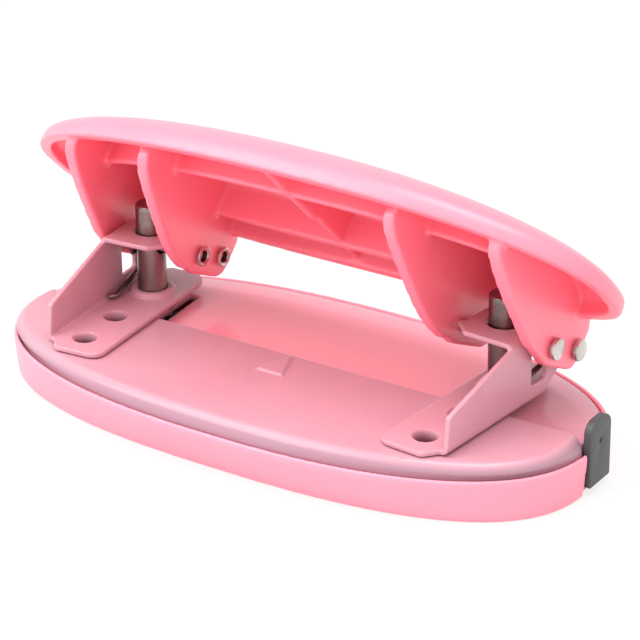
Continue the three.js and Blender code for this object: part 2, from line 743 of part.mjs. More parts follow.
function windowCutter() {
  const points = outline([
    [WINDOW_FRONT_Y, FLANGE_TOP_Z + WINDOW_LOW_H, WINDOW_CORNER],
    [WINDOW_REAR_Y, FLANGE_TOP_Z + WINDOW_LOW_H, WINDOW_CORNER],
    [WINDOW_REAR_Y, FLANGE_TOP_Z + WINDOW_TOP_H, WINDOW_CORNER],
    [WINDOW_FRONT_Y, FLANGE_TOP_Z + WINDOW_TOP_H, WINDOW_CORNER],
  ]);
  return solid(sidePrism(points, STATION_X + COLLAR_RADIUS, STATION_X + WEB_INNER_U + OVERCUT));
}

function bracket() {
  const sheet = channel();
  const bent = joined([lowerFlangeTrim(), topFlangeTrim(), webTrim()].map((trim) => sheet.intersect(trim)));
  const placed = geometryOf(bent.add(collar())).rotateZ(-TOE).translate(STATION_X, 0, FLANGE_TOP_Z);
  const reach = STATION_X + WEB_INNER_U + OVERCUT;
  const guide = PUNCH_RADIUS + PUNCH_PLAY;
  const cutters = [
    windowCutter(),
    solid(crossRod(HINGE_Y, HINGE_Z, PIN_RADIUS + PIN_WEB_PLAY, STATION_X, reach)),
    solid(uprightRod(STATION_X, 0, guide, 0, FLANGE_TOP_Z + WINDOW_LOW_H)),
    solid(uprightRod(STATION_X, 0, TOP_HOLE_RADIUS, FLANGE_TOP_Z + WINDOW_LOW_H, HINGE_Z + LEVER)),
  ];
  for (const spot of eyeletSpots()) {
    const hole = EYELET_BORE + EYELET_WALL + EYELET_PLAY;
    cutters.push(solid(uprightRod(spot.x, spot.y, hole, 0, FLANGE_TOP_Z + OVERCUT)));
    const rim = EYELET_RIM_RADIUS + EYELET_PLAY;
    const floor = FLANGE_TOP_Z - EYELET_RIM_HEIGHT - EYELET_SEAT;
    cutters.push(solid(uprightRod(spot.x, spot.y, rim, floor, FLANGE_TOP_Z + OVERCUT)));
  }
  return geometryOf(without(solid(placed), cutters));
}

// Hollow rivet with a rim let into the flange and a rolled tail below the plate.
function eyelet(spot) {
  const outer = EYELET_BORE + EYELET_WALL;
  const seat = FLANGE_TOP_Z - EYELET_RIM_HEIGHT;
  const tail = PLATE_TOP_Z - PLATE_SHEET - EYELET_SEAT;
  const profile = [
    [EYELET_BORE, tail - EYELET_TAIL_HEIGHT],
    [EYELET_TAIL_RADIUS, tail - EYELET_TAIL_HEIGHT],
    [EYELET_TAIL_RADIUS, tail],
    [outer, tail],
    [outer, seat],
    [EYELET_RIM_RADIUS, seat],
    [EYELET_RIM_RADIUS, FLANGE_TOP_Z],
    [EYELET_BORE + EYELET_DISH, FLANGE_TOP_Z],
    [EYELET_BORE, seat],
    [EYELET_BORE, tail - EYELET_TAIL_HEIGHT],
  ];
  return geometryOf(solid(turned(profile).translate(spot.x, spot.y, 0)));
}

// Punch: a ground rod with a saddle cutting end and a cross slot for the drive pin.

function punchRod() {
  const low = FLANGE_TOP_Z + PUNCH_LOW_H;
  const top = FLANGE_TOP_Z + PUNCH_TOP_H;
  const ring = FLANGE_TOP_Z + PUNCH_RING_H;
  const waist = PUNCH_RADIUS - PUNCH_RING_DEPTH;
  return solid(turned([
    [0, low],
    [PUNCH_RADIUS, low],
    [PUNCH_RADIUS, ring],
    [waist, ring],
    [waist, ring + PUNCH_RING_WIDTH],
    [PUNCH_RADIUS, ring + PUNCH_RING_WIDTH],
    [PUNCH_RADIUS, top - PUNCH_EDGE],
    [PUNCH_RADIUS - PUNCH_EDGE, top],
    [0, top],
  ]));
}

function saddleCutter() {
  const low = FLANGE_TOP_Z + PUNCH_LOW_H;
  const points = [
    [-PUNCH_RADIUS, low],
    [-PUNCH_SADDLE_FLAT, low + PUNCH_SADDLE],
    [PUNCH_SADDLE_FLAT, low + PUNCH_SADDLE],
    [PUNCH_RADIUS, low],
    [PUNCH_RADIUS, low - OVERCUT],
    [-PUNCH_RADIUS, low - OVERCUT],
  ].reverse().map(([x, z]) => new THREE.Vector2(x, z));
  return solid(endPrism(points, -OVERCUT, OVERCUT));
}

// The drive pin swings along an arc, so its slot is longer than it is high.
function driveSlot() {
  const radius = PIN_RADIUS + PUNCH_SLOT_PLAY;
  const near = HINGE_Y - LEVER - PUNCH_SLOT_PLAY / 2;
  const far = DRIVE_Y + PUNCH_SLOT_PLAY / 2;
  return joined([
    solid(crossRod(near, DRIVE_Z, radius, -OVERCUT, OVERCUT)),
    solid(crossRod(far, DRIVE_Z, radius, -OVERCUT, OVERCUT)),
    solid(block(-OVERCUT, OVERCUT, near, far, DRIVE_Z - radius, DRIVE_Z + radius)),
  ]);
}

function punch() {
  const body = without(punchRod(), [saddleCutter(), driveSlot()]);
  return geometryOf(body).translate(STATION_X, 0, 0);
}

// Pins: a solid head outside the outer ear, a hollow flared end inside the inner ear.

function earFaceX(middle, p) {
  return middle + Math.tan(TOE) * (p - EAR_PIN_P);
}

function pin(y, z, p) {
  const swell = (EAR_THICKNESS * (1 + EAR_ROOT_GROWTH_SHARE)) / 2;
  const low = earFaceX(INNER_EAR_X, p) - swell - PIN_FACE_GAP - PIN_FLARE_HEIGHT;
  const neck = low + PIN_FLARE_HEIGHT;
  const high = earFaceX(OUTER_EAR_X, p) + swell + PIN_FACE_GAP;
  const profile = [
    [0, low + PIN_BORE_DEPTH],
    [PIN_BORE_RADIUS, low + PIN_BORE_DEPTH],
    [PIN_BORE_RADIUS, low + PIN_FLARE_HEIGHT / 2],
    [PIN_MOUTH_RADIUS, low],
    [PIN_FLARE_RADIUS - PIN_HEAD_EDGE, low],
    [PIN_FLARE_RADIUS, low + PIN_HEAD_EDGE],
    [PIN_FLARE_RADIUS, neck - PIN_HEAD_EDGE],
    [PIN_RADIUS, neck],
    [PIN_RADIUS, high],
    [PIN_HEAD_RADIUS, high],
    [PIN_HEAD_RADIUS, high + PIN_HEAD_HEIGHT - PIN_HEAD_EDGE],
    [PIN_HEAD_RADIUS - PIN_HEAD_EDGE, high + PIN_HEAD_HEIGHT],
    [0, high + PIN_HEAD_HEIGHT],
  ];
  return geometryOf(solid(turnedAcross(profile, y, z)));
}

// Torsion spring: hooked foot, coil about the hinge pin, arm under the drive pin.

// Angle at which a straight wire from (y, z) meets the coil, on the upper or the lower side.
function tangentTurn(y, z, side) {
  const away = Math.hypot(y - HINGE_Y, z - HINGE_Z);
  return Math.atan2(z - HINGE_Z, y - HINGE_Y) + side * Math.acos(COIL_RADIUS / away);
}

function springPath() {
  const foot = new THREE.Vector3(SPRING_FOOT_X, SPRING_FOOT_Y, FLANGE_TOP_Z + SPRING_FOOT_H);
  const hook = new THREE.Vector3(SPRING_HOOK_X, SPRING_HOOK_Y, foot.z);
  const arm = new THREE.Vector3(SPRING_ARM_X, SPRING_ARM_Y, FLANGE_TOP_Z + SPRING_ARM_H);
  const start = tangentTurn(foot.y, foot.z, 1);
  const end = tangentTurn(arm.y, arm.z, -1) + 2 * Math.PI;
  const turns = (end - start) / (2 * Math.PI);
  const steps = Math.round(COIL_STEPS * turns);
  const coil = [];
  for (let k = 0; k <= steps; k += 1) {
    const turn = THREE.MathUtils.lerp(start, end, k / steps);
    const x = COIL_OUTER_X - (COIL_PITCH * turns * k) / steps;
    const y = HINGE_Y + COIL_RADIUS * Math.cos(turn);
    const z = HINGE_Z + COIL_RADIUS * Math.sin(turn);
    coil.push(new THREE.Vector3(x, y, z));
  }
  return [hook, foot, ...coil, arm];
}

// Least free distance between stretches of the wire that are at least half a turn apart.
function leastGap(path) {
  const dense = [];
  for (let i = 0; i + 1 < path.length; i += 1) {
    for (let k = 0; k < COIL_STEPS; k += 1) dense.push(path[i].clone().lerp(path[i + 1], k / COIL_STEPS));
  }
  const lengths = [0];
  for (let i = 1; i < dense.length; i += 1) lengths.push(lengths[i - 1] + dense[i].distanceTo(dense[i - 1]));
  let least = Infinity;
  for (let i = 0; i < dense.length; i += 1) {
    for (let k = i + 1; k < dense.length; k += 1) {
      if (lengths[k] - lengths[i] < Math.PI * COIL_RADIUS) continue;
      least = Math.min(least, dense[i].distanceTo(dense[k]));
    }
  }
  return least - 2 * WIRE_RADIUS;
}

// A wire with a many-sided section swept along a path, closed at both ends.
function wire(path) {
  const rings = [];
  let side = new THREE.Vector3(0, 0, 1);
  path.forEach((point, i) => {
    const from = path[Math.max(i - 1, 0)];
    const to = path[Math.min(i + 1, path.length - 1)];
    const ahead = to.clone().sub(from).normalize();
    side = side.sub(ahead.clone().multiplyScalar(side.dot(ahead))).normalize();
    const across = new THREE.Vector3().crossVectors(ahead, side);
    const ring = [];
    for (let k = 0; k < WIRE_SIDES; k += 1) {
      const turn = (2 * Math.PI * k) / WIRE_SIDES;
      const offset = side.clone().multiplyScalar(Math.cos(turn) * WIRE_RADIUS);
      offset.add(across.clone().multiplyScalar(Math.sin(turn) * WIRE_RADIUS));
      ring.push(point.clone().add(offset));
    }
    rings.push(ring);
  });
  return tube(rings);
}

function tube(rings) {
  const position = [];
  const index = [];
  for (const point of rings.flat()) position.push(point.x, point.y, point.z);
  for (let level = 0; level + 1 < rings.length; level += 1) {
    for (let k = 0; k < WIRE_SIDES; k += 1) {
      const a = level * WIRE_SIDES + k;
      const b = level * WIRE_SIDES + ((k + 1) % WIRE_SIDES);
      index.push(a, b, b + WIRE_SIDES, a, b + WIRE_SIDES, a + WIRE_SIDES);
    }
  }
  const last = (rings.length - 1) * WIRE_SIDES;
  for (let k = 1; k + 1 < WIRE_SIDES; k += 1) {
    index.push(0, k + 1, k);
    index.push(last, last + k, last + k + 1);
  }
  const geometry = new THREE.BufferGeometry();
  geometry.setAttribute('position', new THREE.Float32BufferAttribute(position, 3));
  geometry.setIndex(index);
  return geometry;
}

function torsionSpring() {
  const path = springPath();
  console.log('spring: least free gap to itself', leastGap(path).toFixed(2), 'mm');
  return geometryOf(solid(wire(path)));
}

// Handle.

function domeRings(inset, topInset, rim) {
  const plan = (scale, endScale) => lens({
    half: (HANDLE_HALF_LENGTH - inset) * endScale,
    mid: HANDLE_MID_P,
    front: (HANDLE_FRONT_DEPTH - inset) * scale,
    frontPower: HANDLE_FRONT_POWER,
    back: (HANDLE_BACK_DEPTH - inset) * scale,
    backPower: HANDLE_BACK_POWER,
  });
  const shoulder = HANDLE_RIM_Q + HANDLE_WALL_HEIGHT;
  const rings = [{ z: rim, points: plan(1, 1) }, { z: shoulder, points: plan(1, 1) }];
  for (const share of DOME_SHARES) {
    const scale = (1 - share ** 2) ** (1 / HANDLE_DOME_POWER);
    const endScale = (1 - share ** 2) ** (1 / HANDLE_DOME_END_POWER);
    rings.push({ z: shoulder + (HANDLE_DOME_HEIGHT - topInset) * share, points: plan(scale, endScale) });
  }
  return rings;
}

// Place of the front rib's middle line on p, for a place on X.
function frontRibP(x) {
  const share = Math.min(Math.abs(x) / FRONT_RIB_HALF_LENGTH, 1);
  const rise = (1 - share ** HANDLE_FRONT_POWER) ** (1 / HANDLE_FRONT_POWER);
  return HANDLE_MID_P - FRONT_RIB_DEPTH * rise;
}

function rearRibP(x) {
  return REAR_RIB_P - REAR_RIB_BOW * (x / INNER_EAR_X) ** 2;
}

// A rib of even thickness along a middle line, from low up into the dome.
function ribAlong(place, reach, low) {
  const near = [];
  const far = [];
  for (let k = 0; k <= ROUND_STEPS; k += 1) {
    const x = THREE.MathUtils.lerp(-reach, reach, k / ROUND_STEPS);
    const slope = (place(x + SKIN) - place(x - SKIN)) / (2 * SKIN);
    const across = (RIB_THICKNESS / 2) * Math.hypot(1, slope);
    near.push(new THREE.Vector2(x, place(x) - across));
    far.unshift(new THREE.Vector2(x, place(x) + across));
  }
  return solid(planPrism([...near, ...far], low, HANDLE_TOP_Q));
}

function middleRib(low) {
  const front = HANDLE_MID_P - HANDLE_FRONT_DEPTH;
  const back = HANDLE_MID_P + HANDLE_BACK_DEPTH;
  const side = [
    [front, low],
    [MIDDLE_RIB_STEP_P, low],
    [MIDDLE_RIB_STEP_P, low + MIDDLE_RIB_STEP],
    [back, low + MIDDLE_RIB_STEP],
    [back, HANDLE_TOP_Q],
    [front, HANDLE_TOP_Q],
  ].map(([p, q]) => new THREE.Vector2(p, q));
  return solid(sidePrism(side, -RIB_THICKNESS / 2, RIB_THICKNESS / 2));
}

const INNER_EAR = {
  front: INNER_EAR_FRONT,
  belly: INNER_EAR_BELLY,
  nose: INNER_EAR_NOSE,
  centre: [INNER_EAR_NOSE_P, INNER_EAR_NOSE_Q],
};
const OUTER_EAR = {
  front: OUTER_EAR_FRONT,
  belly: OUTER_EAR_BELLY,
  nose: OUTER_EAR_NOSE,
  centre: [OUTER_EAR_NOSE_P, OUTER_EAR_NOSE_Q],
};

function earRearP(shape) {
  return shape.centre[0] + shape.nose;
}

// Ear outline: the front edge as given, then round the drive pin, round the nose and up.
function earOutline(shape, top) {
  const belly = new THREE.Vector2(DRIVE_P, DRIVE_Q);
  const nose = new THREE.Vector2(...shape.centre);
  const points = shape.front.map(([p, q]) => new THREE.Vector2(p, q));
  const lean = Math.atan2(nose.y - belly.y, nose.x - belly.x)
    - Math.asin((shape.nose - shape.belly) / nose.distanceTo(belly)) - Math.PI / 2;
  for (const [centre, radius, start, end] of [
    [belly, shape.belly, lean - Math.PI / 5, lean],
    [nose, shape.nose, lean, 0],
  ]) {
    for (let k = 0; k <= ARC_STEPS; k += 1) {
      const turn = THREE.MathUtils.lerp(start, end, k / ARC_STEPS);
      points.push(new THREE.Vector2(Math.cos(turn), Math.sin(turn)).multiplyScalar(radius).add(centre));
    }
  }
  const rear = earRearP(shape);
  points.push(new THREE.Vector2(rear, HANDLE_RIM_Q));
  points.push(new THREE.Vector2(rear - EAR_LUG_LEAN, HANDLE_RIM_Q + EAR_LUG_RISE));
  points.push(new THREE.Vector2(rear - EAR_LUG_LEAN, top));
  points.push(new THREE.Vector2(points[0].x, top));
  return points;
}

// A blade with draft, thicker at its root, toed and set at its place on X.
function earBlade(points, middle, side) {
  const geometry = sidePrism(points, -EAR_THICKNESS / 2, EAR_THICKNESS / 2);
  const position = geometry.getAttribute('position');
  const low = Math.min(...points.map((point) => point.y));
  for (let i = 0; i < position.count; i += 1) {
    const share = (position.getZ(i) - low) / (HANDLE_TOP_Q - low);
    position.setX(i, position.getX(i) * (1 + EAR_ROOT_GROWTH_SHARE * share));
  }
  geometry.translate(0, -EAR_PIN_P, 0).rotateZ(-side * TOE).translate(side * middle, EAR_PIN_P, 0);
  return solid(geometry);
}

function ear(shape, middle, side, outside) {
  const above = outside.intersect(earBlade(earOutline(shape, HANDLE_TOP_Q), middle, side));
  const reach = HANDLE_HALF_LENGTH + OVERCUT;
  const low = HANDLE_RIM_Q - HOLE_SPACING;
  const below = solid(block(-reach, reach, -HOLE_SPACING, HOLE_SPACING, low, HANDLE_RIM_Q + SKIN));
  const front = earRearP(shape) - EAR_LUG_DEPTH;
  const lug = solid(block(-reach, reach, front, HOLE_SPACING, low, HANDLE_RIM_Q + EAR_LUG_RISE));
  const blade = earBlade(earOutline(shape, HANDLE_RIM_Q + EAR_LUG_RISE), middle, side);
  return above.add(blade.intersect(below.add(lug)));
}

function handle() {
  const outside = solid(loft(domeRings(0, 0, HANDLE_RIM_Q)));
  const inside = solid(loft(domeRings(HANDLE_WALL, HANDLE_TOP_WALL, HANDLE_RIM_Q - OVERCUT)));
  const low = HANDLE_RIM_Q + RIB_SETBACK;
  const ribs = joined([
    ribAlong(frontRibP, OUTER_EAR_X - EAR_THICKNESS, low),
    ribAlong(rearRibP, INNER_EAR_X, low),
    middleRib(low),
  ]);
  const parts = [outside.subtract(inside), outside.intersect(ribs)];
  for (const side of [-1, 1]) {
    parts.push(ear(INNER_EAR, INNER_EAR_X, side, outside));
    parts.push(ear(OUTER_EAR, OUTER_EAR_X, side, outside));
  }
  const reach = HANDLE_HALF_LENGTH + OVERCUT;
  const hole = PIN_RADIUS + PIN_EAR_PLAY;
  const holes = [
    solid(crossRod(0, 0, hole, -reach, reach)),
    solid(crossRod(DRIVE_P, DRIVE_Q, hole, -reach, reach)),
  ];
  return geometryOf(without(joined(parts), holes));
}

// Materials.

function material(color, roughness, metalness) {
  return new THREE.MeshStandardMaterial({ color, roughness, metalness });
}

const paintedSteel = material('#efa7b3', 0.42, 0.05);
const handlePlastic = material('#f3a0bd', 0.3, 0);
const trayPlastic = material('#f9b2c6', 0.38, 0);
const punchSteel = material('#6b6769', 0.34, 1);
const pinSteel = material('#c6c1be', 0.28, 1);
const springSteel = material('#3f3a3b', 0.36, 1);
const dieSteel = material('#8a8685', 0.35, 1);
const guidePlastic = material('#1c1b1d', 0.45, 0);

function node(name, geometry, look) {
  const mesh = new THREE.Mesh(geometry, look);
  mesh.name = name;
  return mesh;
}

function group(name, children) {
  const holder = new THREE.Group();
  holder.name = name;
  holder.add(...children);
  return holder;
}

// Right-hand geometry, and its mirror image for the left.
function pair(stem, geometry, look) {
  return [
    node(`${stem}_right`, geometry, look),
    node(`${stem}_left`, mirrored(geometry), look),
  ];
}

function station() {
  const [front, rear] = eyeletSpots();
  const right = [
    ['bracket', bracket(), paintedSteel],
    ['eyelet_front', eyelet(front), paintedSteel],
    ['eyelet_rear', eyelet(rear), paintedSteel],
    ['die', dieBush(), dieSteel],
    ['torsion_spring', torsionSpring(), springSteel],
    ['punch', punch(), punchSteel],
  ];
  return right.flatMap(([stem, geometry, look]) => pair(stem, geometry, look));
}

function lever() {
  const shell = node('handle', handle(), handlePlastic);
  const tilted = group('handle_frame', [shell]);
  tilted.position.set(0, HINGE_Y, HINGE_Z);
  tilted.rotation.x = -OPEN;
  const pins = [
    ...pair('hinge_pin', pin(HINGE_Y, HINGE_Z, 0), pinSteel),
    ...pair('drive_pin', pin(DRIVE_Y, DRIVE_Z, DRIVE_P), pinSteel),
  ];
  return group('lever', [tilted, ...pins]);
}

const punchAssembly = group('two_hole_punch', [
  group('base', [node('base_plate', basePlate(), paintedSteel), ...station()]),
  lever(),
  group('tray', [node('chip_tray', chipTray(), trayPlastic)]),
  group('guide', [
    node('guide_ruler', guideRuler(), guidePlastic),
    node('guide_stop', guideStop(), guidePlastic),
  ]),
]);

export default punchAssembly;
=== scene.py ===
import math

import bpy
from mathutils import Matrix, Vector


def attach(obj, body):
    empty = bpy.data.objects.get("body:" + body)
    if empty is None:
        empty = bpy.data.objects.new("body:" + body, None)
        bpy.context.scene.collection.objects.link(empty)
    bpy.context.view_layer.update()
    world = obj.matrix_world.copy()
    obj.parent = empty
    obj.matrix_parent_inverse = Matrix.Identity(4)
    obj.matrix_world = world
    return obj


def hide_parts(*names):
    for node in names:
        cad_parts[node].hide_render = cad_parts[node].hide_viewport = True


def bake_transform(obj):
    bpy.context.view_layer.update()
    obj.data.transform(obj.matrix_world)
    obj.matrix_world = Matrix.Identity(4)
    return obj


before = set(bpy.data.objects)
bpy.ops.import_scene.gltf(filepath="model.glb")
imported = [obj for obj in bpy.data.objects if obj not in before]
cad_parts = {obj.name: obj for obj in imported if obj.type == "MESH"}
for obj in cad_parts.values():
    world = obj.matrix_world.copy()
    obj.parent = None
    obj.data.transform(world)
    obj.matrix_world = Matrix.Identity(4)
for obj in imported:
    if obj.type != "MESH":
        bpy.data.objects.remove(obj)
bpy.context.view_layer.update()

# Sizes are in millimetres, in the frame of the CAD model. MM turns them into metres.
MM = 0.001
FAR = 80  # past the part on every side
TALL = 60  # above the part

# The lever. The handle is drawn closed, with p along Y and q up from the hinge, and turned open.
HINGE = (7.95, 19.8)  # y and z of the handle's axis
LEVER = 8.18  # hinge to drive pin
LEVER_OPEN = math.radians(22.65)  # the lever's slope with the handle open
OPEN = math.radians(43.8)
DRIVE = (HINGE[0] - LEVER * math.cos(LEVER_OPEN), HINGE[1] + LEVER * math.sin(LEVER_OPEN))
DRIVE_PQ = (-LEVER * math.cos(LEVER_OPEN - OPEN), LEVER * math.sin(LEVER_OPEN - OPEN))

# The two sides.
STATION = 40.0  # from the middle to each punch
TOE = math.radians(4.8)  # how far brackets and ears turn in
TOE_P = -3.8  # p at which the ears' stations are given
INNER_STATION, OUTER_STATION = 29.9, 49.15
SIDES = ((1, "right"), (-1, "left"))

# Levels.
REAR_Z = 9.9  # the plate behind its step
PLATE_Z = 11.6  # the plate before its step
FLANGE_Z = 12.8  # top of a bracket's foot
STEP_Y = -7.8
STEP_LINE_Y = -7.72  # the step's top edge: a painted highlight line runs along it, and the painted reflection and painted shade start from it


# ---------- raw bodies: a list of points in millimetres and a list of faces ----------

def full_turn(steps):
    return [2 * math.pi * k / steps for k in range(steps)]


def prism(points, z0, z1):
    n = len(points)
    verts = [(x, y, z) for z in (z0, z1) for x, y in points]
    faces = [tuple(reversed(range(n))), tuple(range(n, 2 * n))]
    faces += [(k, (k + 1) % n, n + (k + 1) % n, n + k) for k in range(n)]
    return verts, faces


def side_prism(points, x0, x1):
    """Points are (y, z)."""
    verts, faces = prism(points, x0, x1)
    return [(z, x, y) for x, y, z in verts], faces


def end_prism(points, y0, y1):
    """Points are (x, z)."""
    verts, faces = prism(points, -y1, -y0)
    return [(x, -z, y) for x, y, z in verts], faces


def box(x0, x1, y0, y1, z0, z1):
    return prism([(x0, y0), (x1, y0), (x1, y1), (x0, y1)], z0, z1)


def loft(rings):
    """Rings are (z, points), from the lowest up, each with as many points."""
    n = len(rings[0][1])
    verts = [(x, y, z) for z, points in rings for x, y in points]
    faces = []
    for level in range(len(rings) - 1):
        low, high = level * n, (level + 1) * n
        for k in range(n):
            j = (k + 1) % n
            faces.append((low + k, low + j, high + j, high + k))
    faces.append(tuple(reversed(range(n))))
    faces.append(tuple(range((len(rings) - 1) * n, len(rings) * n)))
    return verts, faces


def turned(profile, steps=64):
    """A body of revolution about Z. The profile starts and ends on the axis, or closes on itself."""
    on_axis = 1e-6
    verts, rows = [], []
    for radius, z in profile:
        if radius < on_axis:
            rows.append([len(verts)] * steps)
            verts.append((0, 0, z))
            continue
        rows.append(list(range(len(verts), len(verts) + steps)))
        for turn in full_turn(steps):
            verts.append((radius * math.cos(turn), radius * math.sin(turn), z))
    faces = []
    solid = profile[0][0] < on_axis
    for i in range(len(rows) - 1 if solid else len(rows)):
        low, high = rows[i], rows[(i + 1) % len(rows)]
        for k in range(steps):
            j = (k + 1) % steps
            ring = []
            for v in (low[k], low[j], high[j], high[k]):
                if v not in ring:
                    ring.append(v)
            if len(ring) > 2:
                faces.append(tuple(ring))
    return verts, faces


def moved(body, dx=0.0, dy=0.0):
    return [(x + dx, y + dy, z) for x, y, z in body[0]], body[1]


def spun(body, angle):
    """Turned about the upright line through the origin."""
    c, s = math.cos(angle), math.sin(angle)
    return [(x * c - y * s, x * s + y * c, z) for x, y, z in body[0]], body[1]


def circle(a, b, radius, steps=48):
    return [(a + radius * math.cos(turn), b + radius * math.sin(turn)) for turn in full_turn(steps)]


def rod_x(y, z, radius, x0, x1, steps=48):
    return side_prism(circle(y, z, radius, steps), x0, x1)


def rod_z(x, y, radius, z0, z1):
    return prism(circle(x, y, radius), z0, z1)


def merged(bodies):
    verts, faces = [], []
    for v, f in bodies:
        base = len(verts)
        verts += v
        faces += [tuple(i + base for i in face) for face in f]
    return verts, faces


def rounded(corners, steps=7):
    """Corners (a, b, radius) as a closed line with round corners."""
    points = []
    n = len(corners)
    for i, (a, b, radius) in enumerate(corners):
        here = Vector((a, b))
        if not radius:
            points.append((a, b))
            continue
        back = (Vector(corners[i - 1][:2]) - here).normalized()
        on = (Vector(corners[(i + 1) % n][:2]) - here).normalized()
        half = math.acos(max(-1.0, min(1.0, back.dot(on)))) / 2
        centre = here + (back + on).normalized() * (radius / math.sin(half))
        reach = radius / math.tan(half)
        p, q = here + back * reach - centre, here + on * reach - centre
        start = math.atan2(p.y, p.x)
        sweep = math.atan2(q.y, q.x) - start
        sweep = math.atan2(math.sin(sweep), math.cos(sweep))
        for k in range(steps + 1):
            turn = start + sweep * k / steps
            points.append((centre.x + radius * math.cos(turn), centre.y + radius * math.sin(turn)))
    return points


def lens(half, mid, front, front_power, back, back_power):
    """A superellipse whose front and back halves have their own reach and power."""
    points = []
    for turn in full_turn(240):
        c, s = math.cos(turn), math.sin(turn)
        power, reach = (back_power, back) if turn < math.pi else (front_power, front)
        x = half * math.copysign(abs(c) ** (2 / power), c)
        y = mid + reach * math.copysign(abs(s) ** (2 / power), s)
        points.append((x, y))
    return points


def oval(half, front, back, power=2.35):
    reach = (back - front) / 2
    return lens(half, (front + back) / 2, reach, power, reach, power)


# ---------- objects ----------

def make(name, body, smooth=True):
    mesh = bpy.data.meshes.new(name)
    mesh.from_pydata([(x * MM, y * MM, z * MM) for x, y, z in body[0]], [], body[1])
    mesh.validate()
    mesh.update()
    obj = bpy.data.objects.new(name, mesh)
    bpy.context.scene.collection.objects.link(obj)
    return smoothed(obj) if smooth else obj


def smoothed(obj):
    obj.data.polygons.foreach_set("use_smooth", [True] * len(obj.data.polygons))
    return obj


def sharp(obj, degrees=32):
    """Smooth shading that breaks at real edges."""
    bpy.context.view_layer.objects.active = obj
    obj.data.set_sharp_from_angle(angle=math.radians(degrees))
    return obj


def settle(obj):
    """Every modifier becomes part of the mesh."""
    bpy.context.view_layer.update()
    graph = bpy.context.evaluated_depsgraph_get()
    mesh = bpy.data.meshes.new_from_object(obj.evaluated_get(graph))
    old = obj.data
    obj.modifiers.clear()
    obj.data = mesh
    mesh.name = obj.name
    bpy.data.meshes.remove(old)


def cut(obj, body, operation="DIFFERENCE"):
    tool = make("tool", body)
    mod = obj.modifiers.new("cut", "BOOLEAN")
    mod.operation = operation
    mod.solver = "EXACT"
    mod.object = tool
    settle(obj)
    bpy.data.objects.remove(tool)
    return obj


def taken(obj):
    """The object's raw body. The object goes."""
    mesh = obj.data
    body = [tuple(v.co / MM) for v in mesh.vertices], [tuple(p.vertices) for p in mesh.polygons]
    bpy.data.objects.remove(obj)
    return body


def join(objects, name):
    return make(name, merged([taken(obj) for obj in objects]))


def skin(obj, voxel):
    """One even skin over all the bodies in the object."""
    mod = obj.modifiers.new("skin", "REMESH")
    mod.mode = "VOXEL"
    mod.voxel_size = voxel * MM
    return mod


def refine(obj, voxel, rounds, keep):
    """An even skin, its edges and corners eased as a mould or a press leaves them, then thinned."""
    skin(obj, voxel).use_smooth_shade = True
    ease = obj.modifiers.new("ease", "SMOOTH")
    ease.factor = 0.5
    ease.iterations = rounds
    thin = obj.modifiers.new("thin", "DECIMATE")
    thin.ratio = keep
    settle(obj)
    return smoothed(obj)


def bevel(obj, width, segments, degrees):
    edge = obj.modifiers.new("edge", "BEVEL")
    edge.width = width * MM
    edge.segments = segments
    edge.limit_method = "ANGLE"
    edge.angle_limit = math.radians(degrees)
    settle(obj)


def mirrored(obj, name):
    mesh = obj.data.copy()
    mesh.transform(Matrix.Scale(-1, 4, Vector((1, 0, 0))))
    mesh.flip_normals()
    copy = bpy.data.objects.new(name, mesh)
    mesh.name = name
    bpy.context.scene.collection.objects.link(copy)
    return copy


def dress(obj, body, node, look):
    """Gives a piece its material, hangs it on its body if one is given, and hides the CAD node it takes the place
    of.
    """
    obj.data.materials.clear()
    obj.data.materials.append(look)
    if body:
        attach(obj, body)
    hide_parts(node)


# ---------- material nodes ----------

def nodes_of(name):
    mat = bpy.data.materials.new(name)
    mat.use_nodes = True
    tree = mat.node_tree
    return mat, tree, tree.nodes["Principled BSDF"]


def noise(tree, scale, detail, rough=0.55, stretch=None):
    """Noise in the object's own space, stretched along an axis if asked."""
    place = tree.nodes.new("ShaderNodeTexCoord").outputs["Object"]
    if stretch:
        push = tree.nodes.new("ShaderNodeMapping")
        push.inputs["Scale"].default_value = stretch
        tree.links.new(place, push.inputs["Vector"])
        place = push.outputs["Vector"]
    tex = tree.nodes.new("ShaderNodeTexNoise")
    tex.inputs["Scale"].default_value = scale
    tex.inputs["Detail"].default_value = detail
    tex.inputs["Roughness"].default_value = rough
    tree.links.new(place, tex.inputs["Vector"])
    return tex.outputs["Fac"]


def ramp(tree, source, stops):
    node = tree.nodes.new("ShaderNodeValToRGB")
    tree.links.new(source, node.inputs["Fac"])
    elements = node.color_ramp.elements
    elements[0].position, elements[0].color = stops[0][0], (*stops[0][1], 1)
    elements[1].position, elements[1].color = stops[-1][0], (*stops[-1][1], 1)
    for position, colour in stops[1:-1]:
        elements.new(position).color = (*colour, 1)
    return node.outputs["Color"]


def map_range(tree, value, low, high, at_low, at_high):
    node = tree.nodes.new("ShaderNodeMapRange")
    node.inputs["From Min"].default_value = low
    node.inputs["From Max"].default_value = high
    node.inputs["To Min"].default_value = at_low
    node.inputs["To Max"].default_value = at_high
    tree.links.new(value, node.inputs["Value"])
    return node.outputs["Result"]


def between(tree, value, low, high, at_low=0.0, at_high=1.0):
    """A place in metres turned into a share, between two places in millimetres."""
    return map_range(tree, value, low * MM, high * MM, at_low, at_high)


def reckon(tree, kind, a, b=0.0):
    node = tree.nodes.new("ShaderNodeMath")
    node.operation = kind
    for slot, value in ((0, a), (1, b)):
        if isinstance(value, float):
            node.inputs[slot].default_value = value
        else:
            tree.links.new(value, node.inputs[slot])
    return node.outputs["Value"]


def xyz(tree, space):
    place = tree.nodes.new("ShaderNodeTexCoord")
    parts = tree.nodes.new("ShaderNodeSeparateXYZ")
    tree.links.new(place.outputs[space], parts.inputs["Vector"])
    return parts.outputs["X"], parts.outputs["Y"], parts.outputs["Z"]


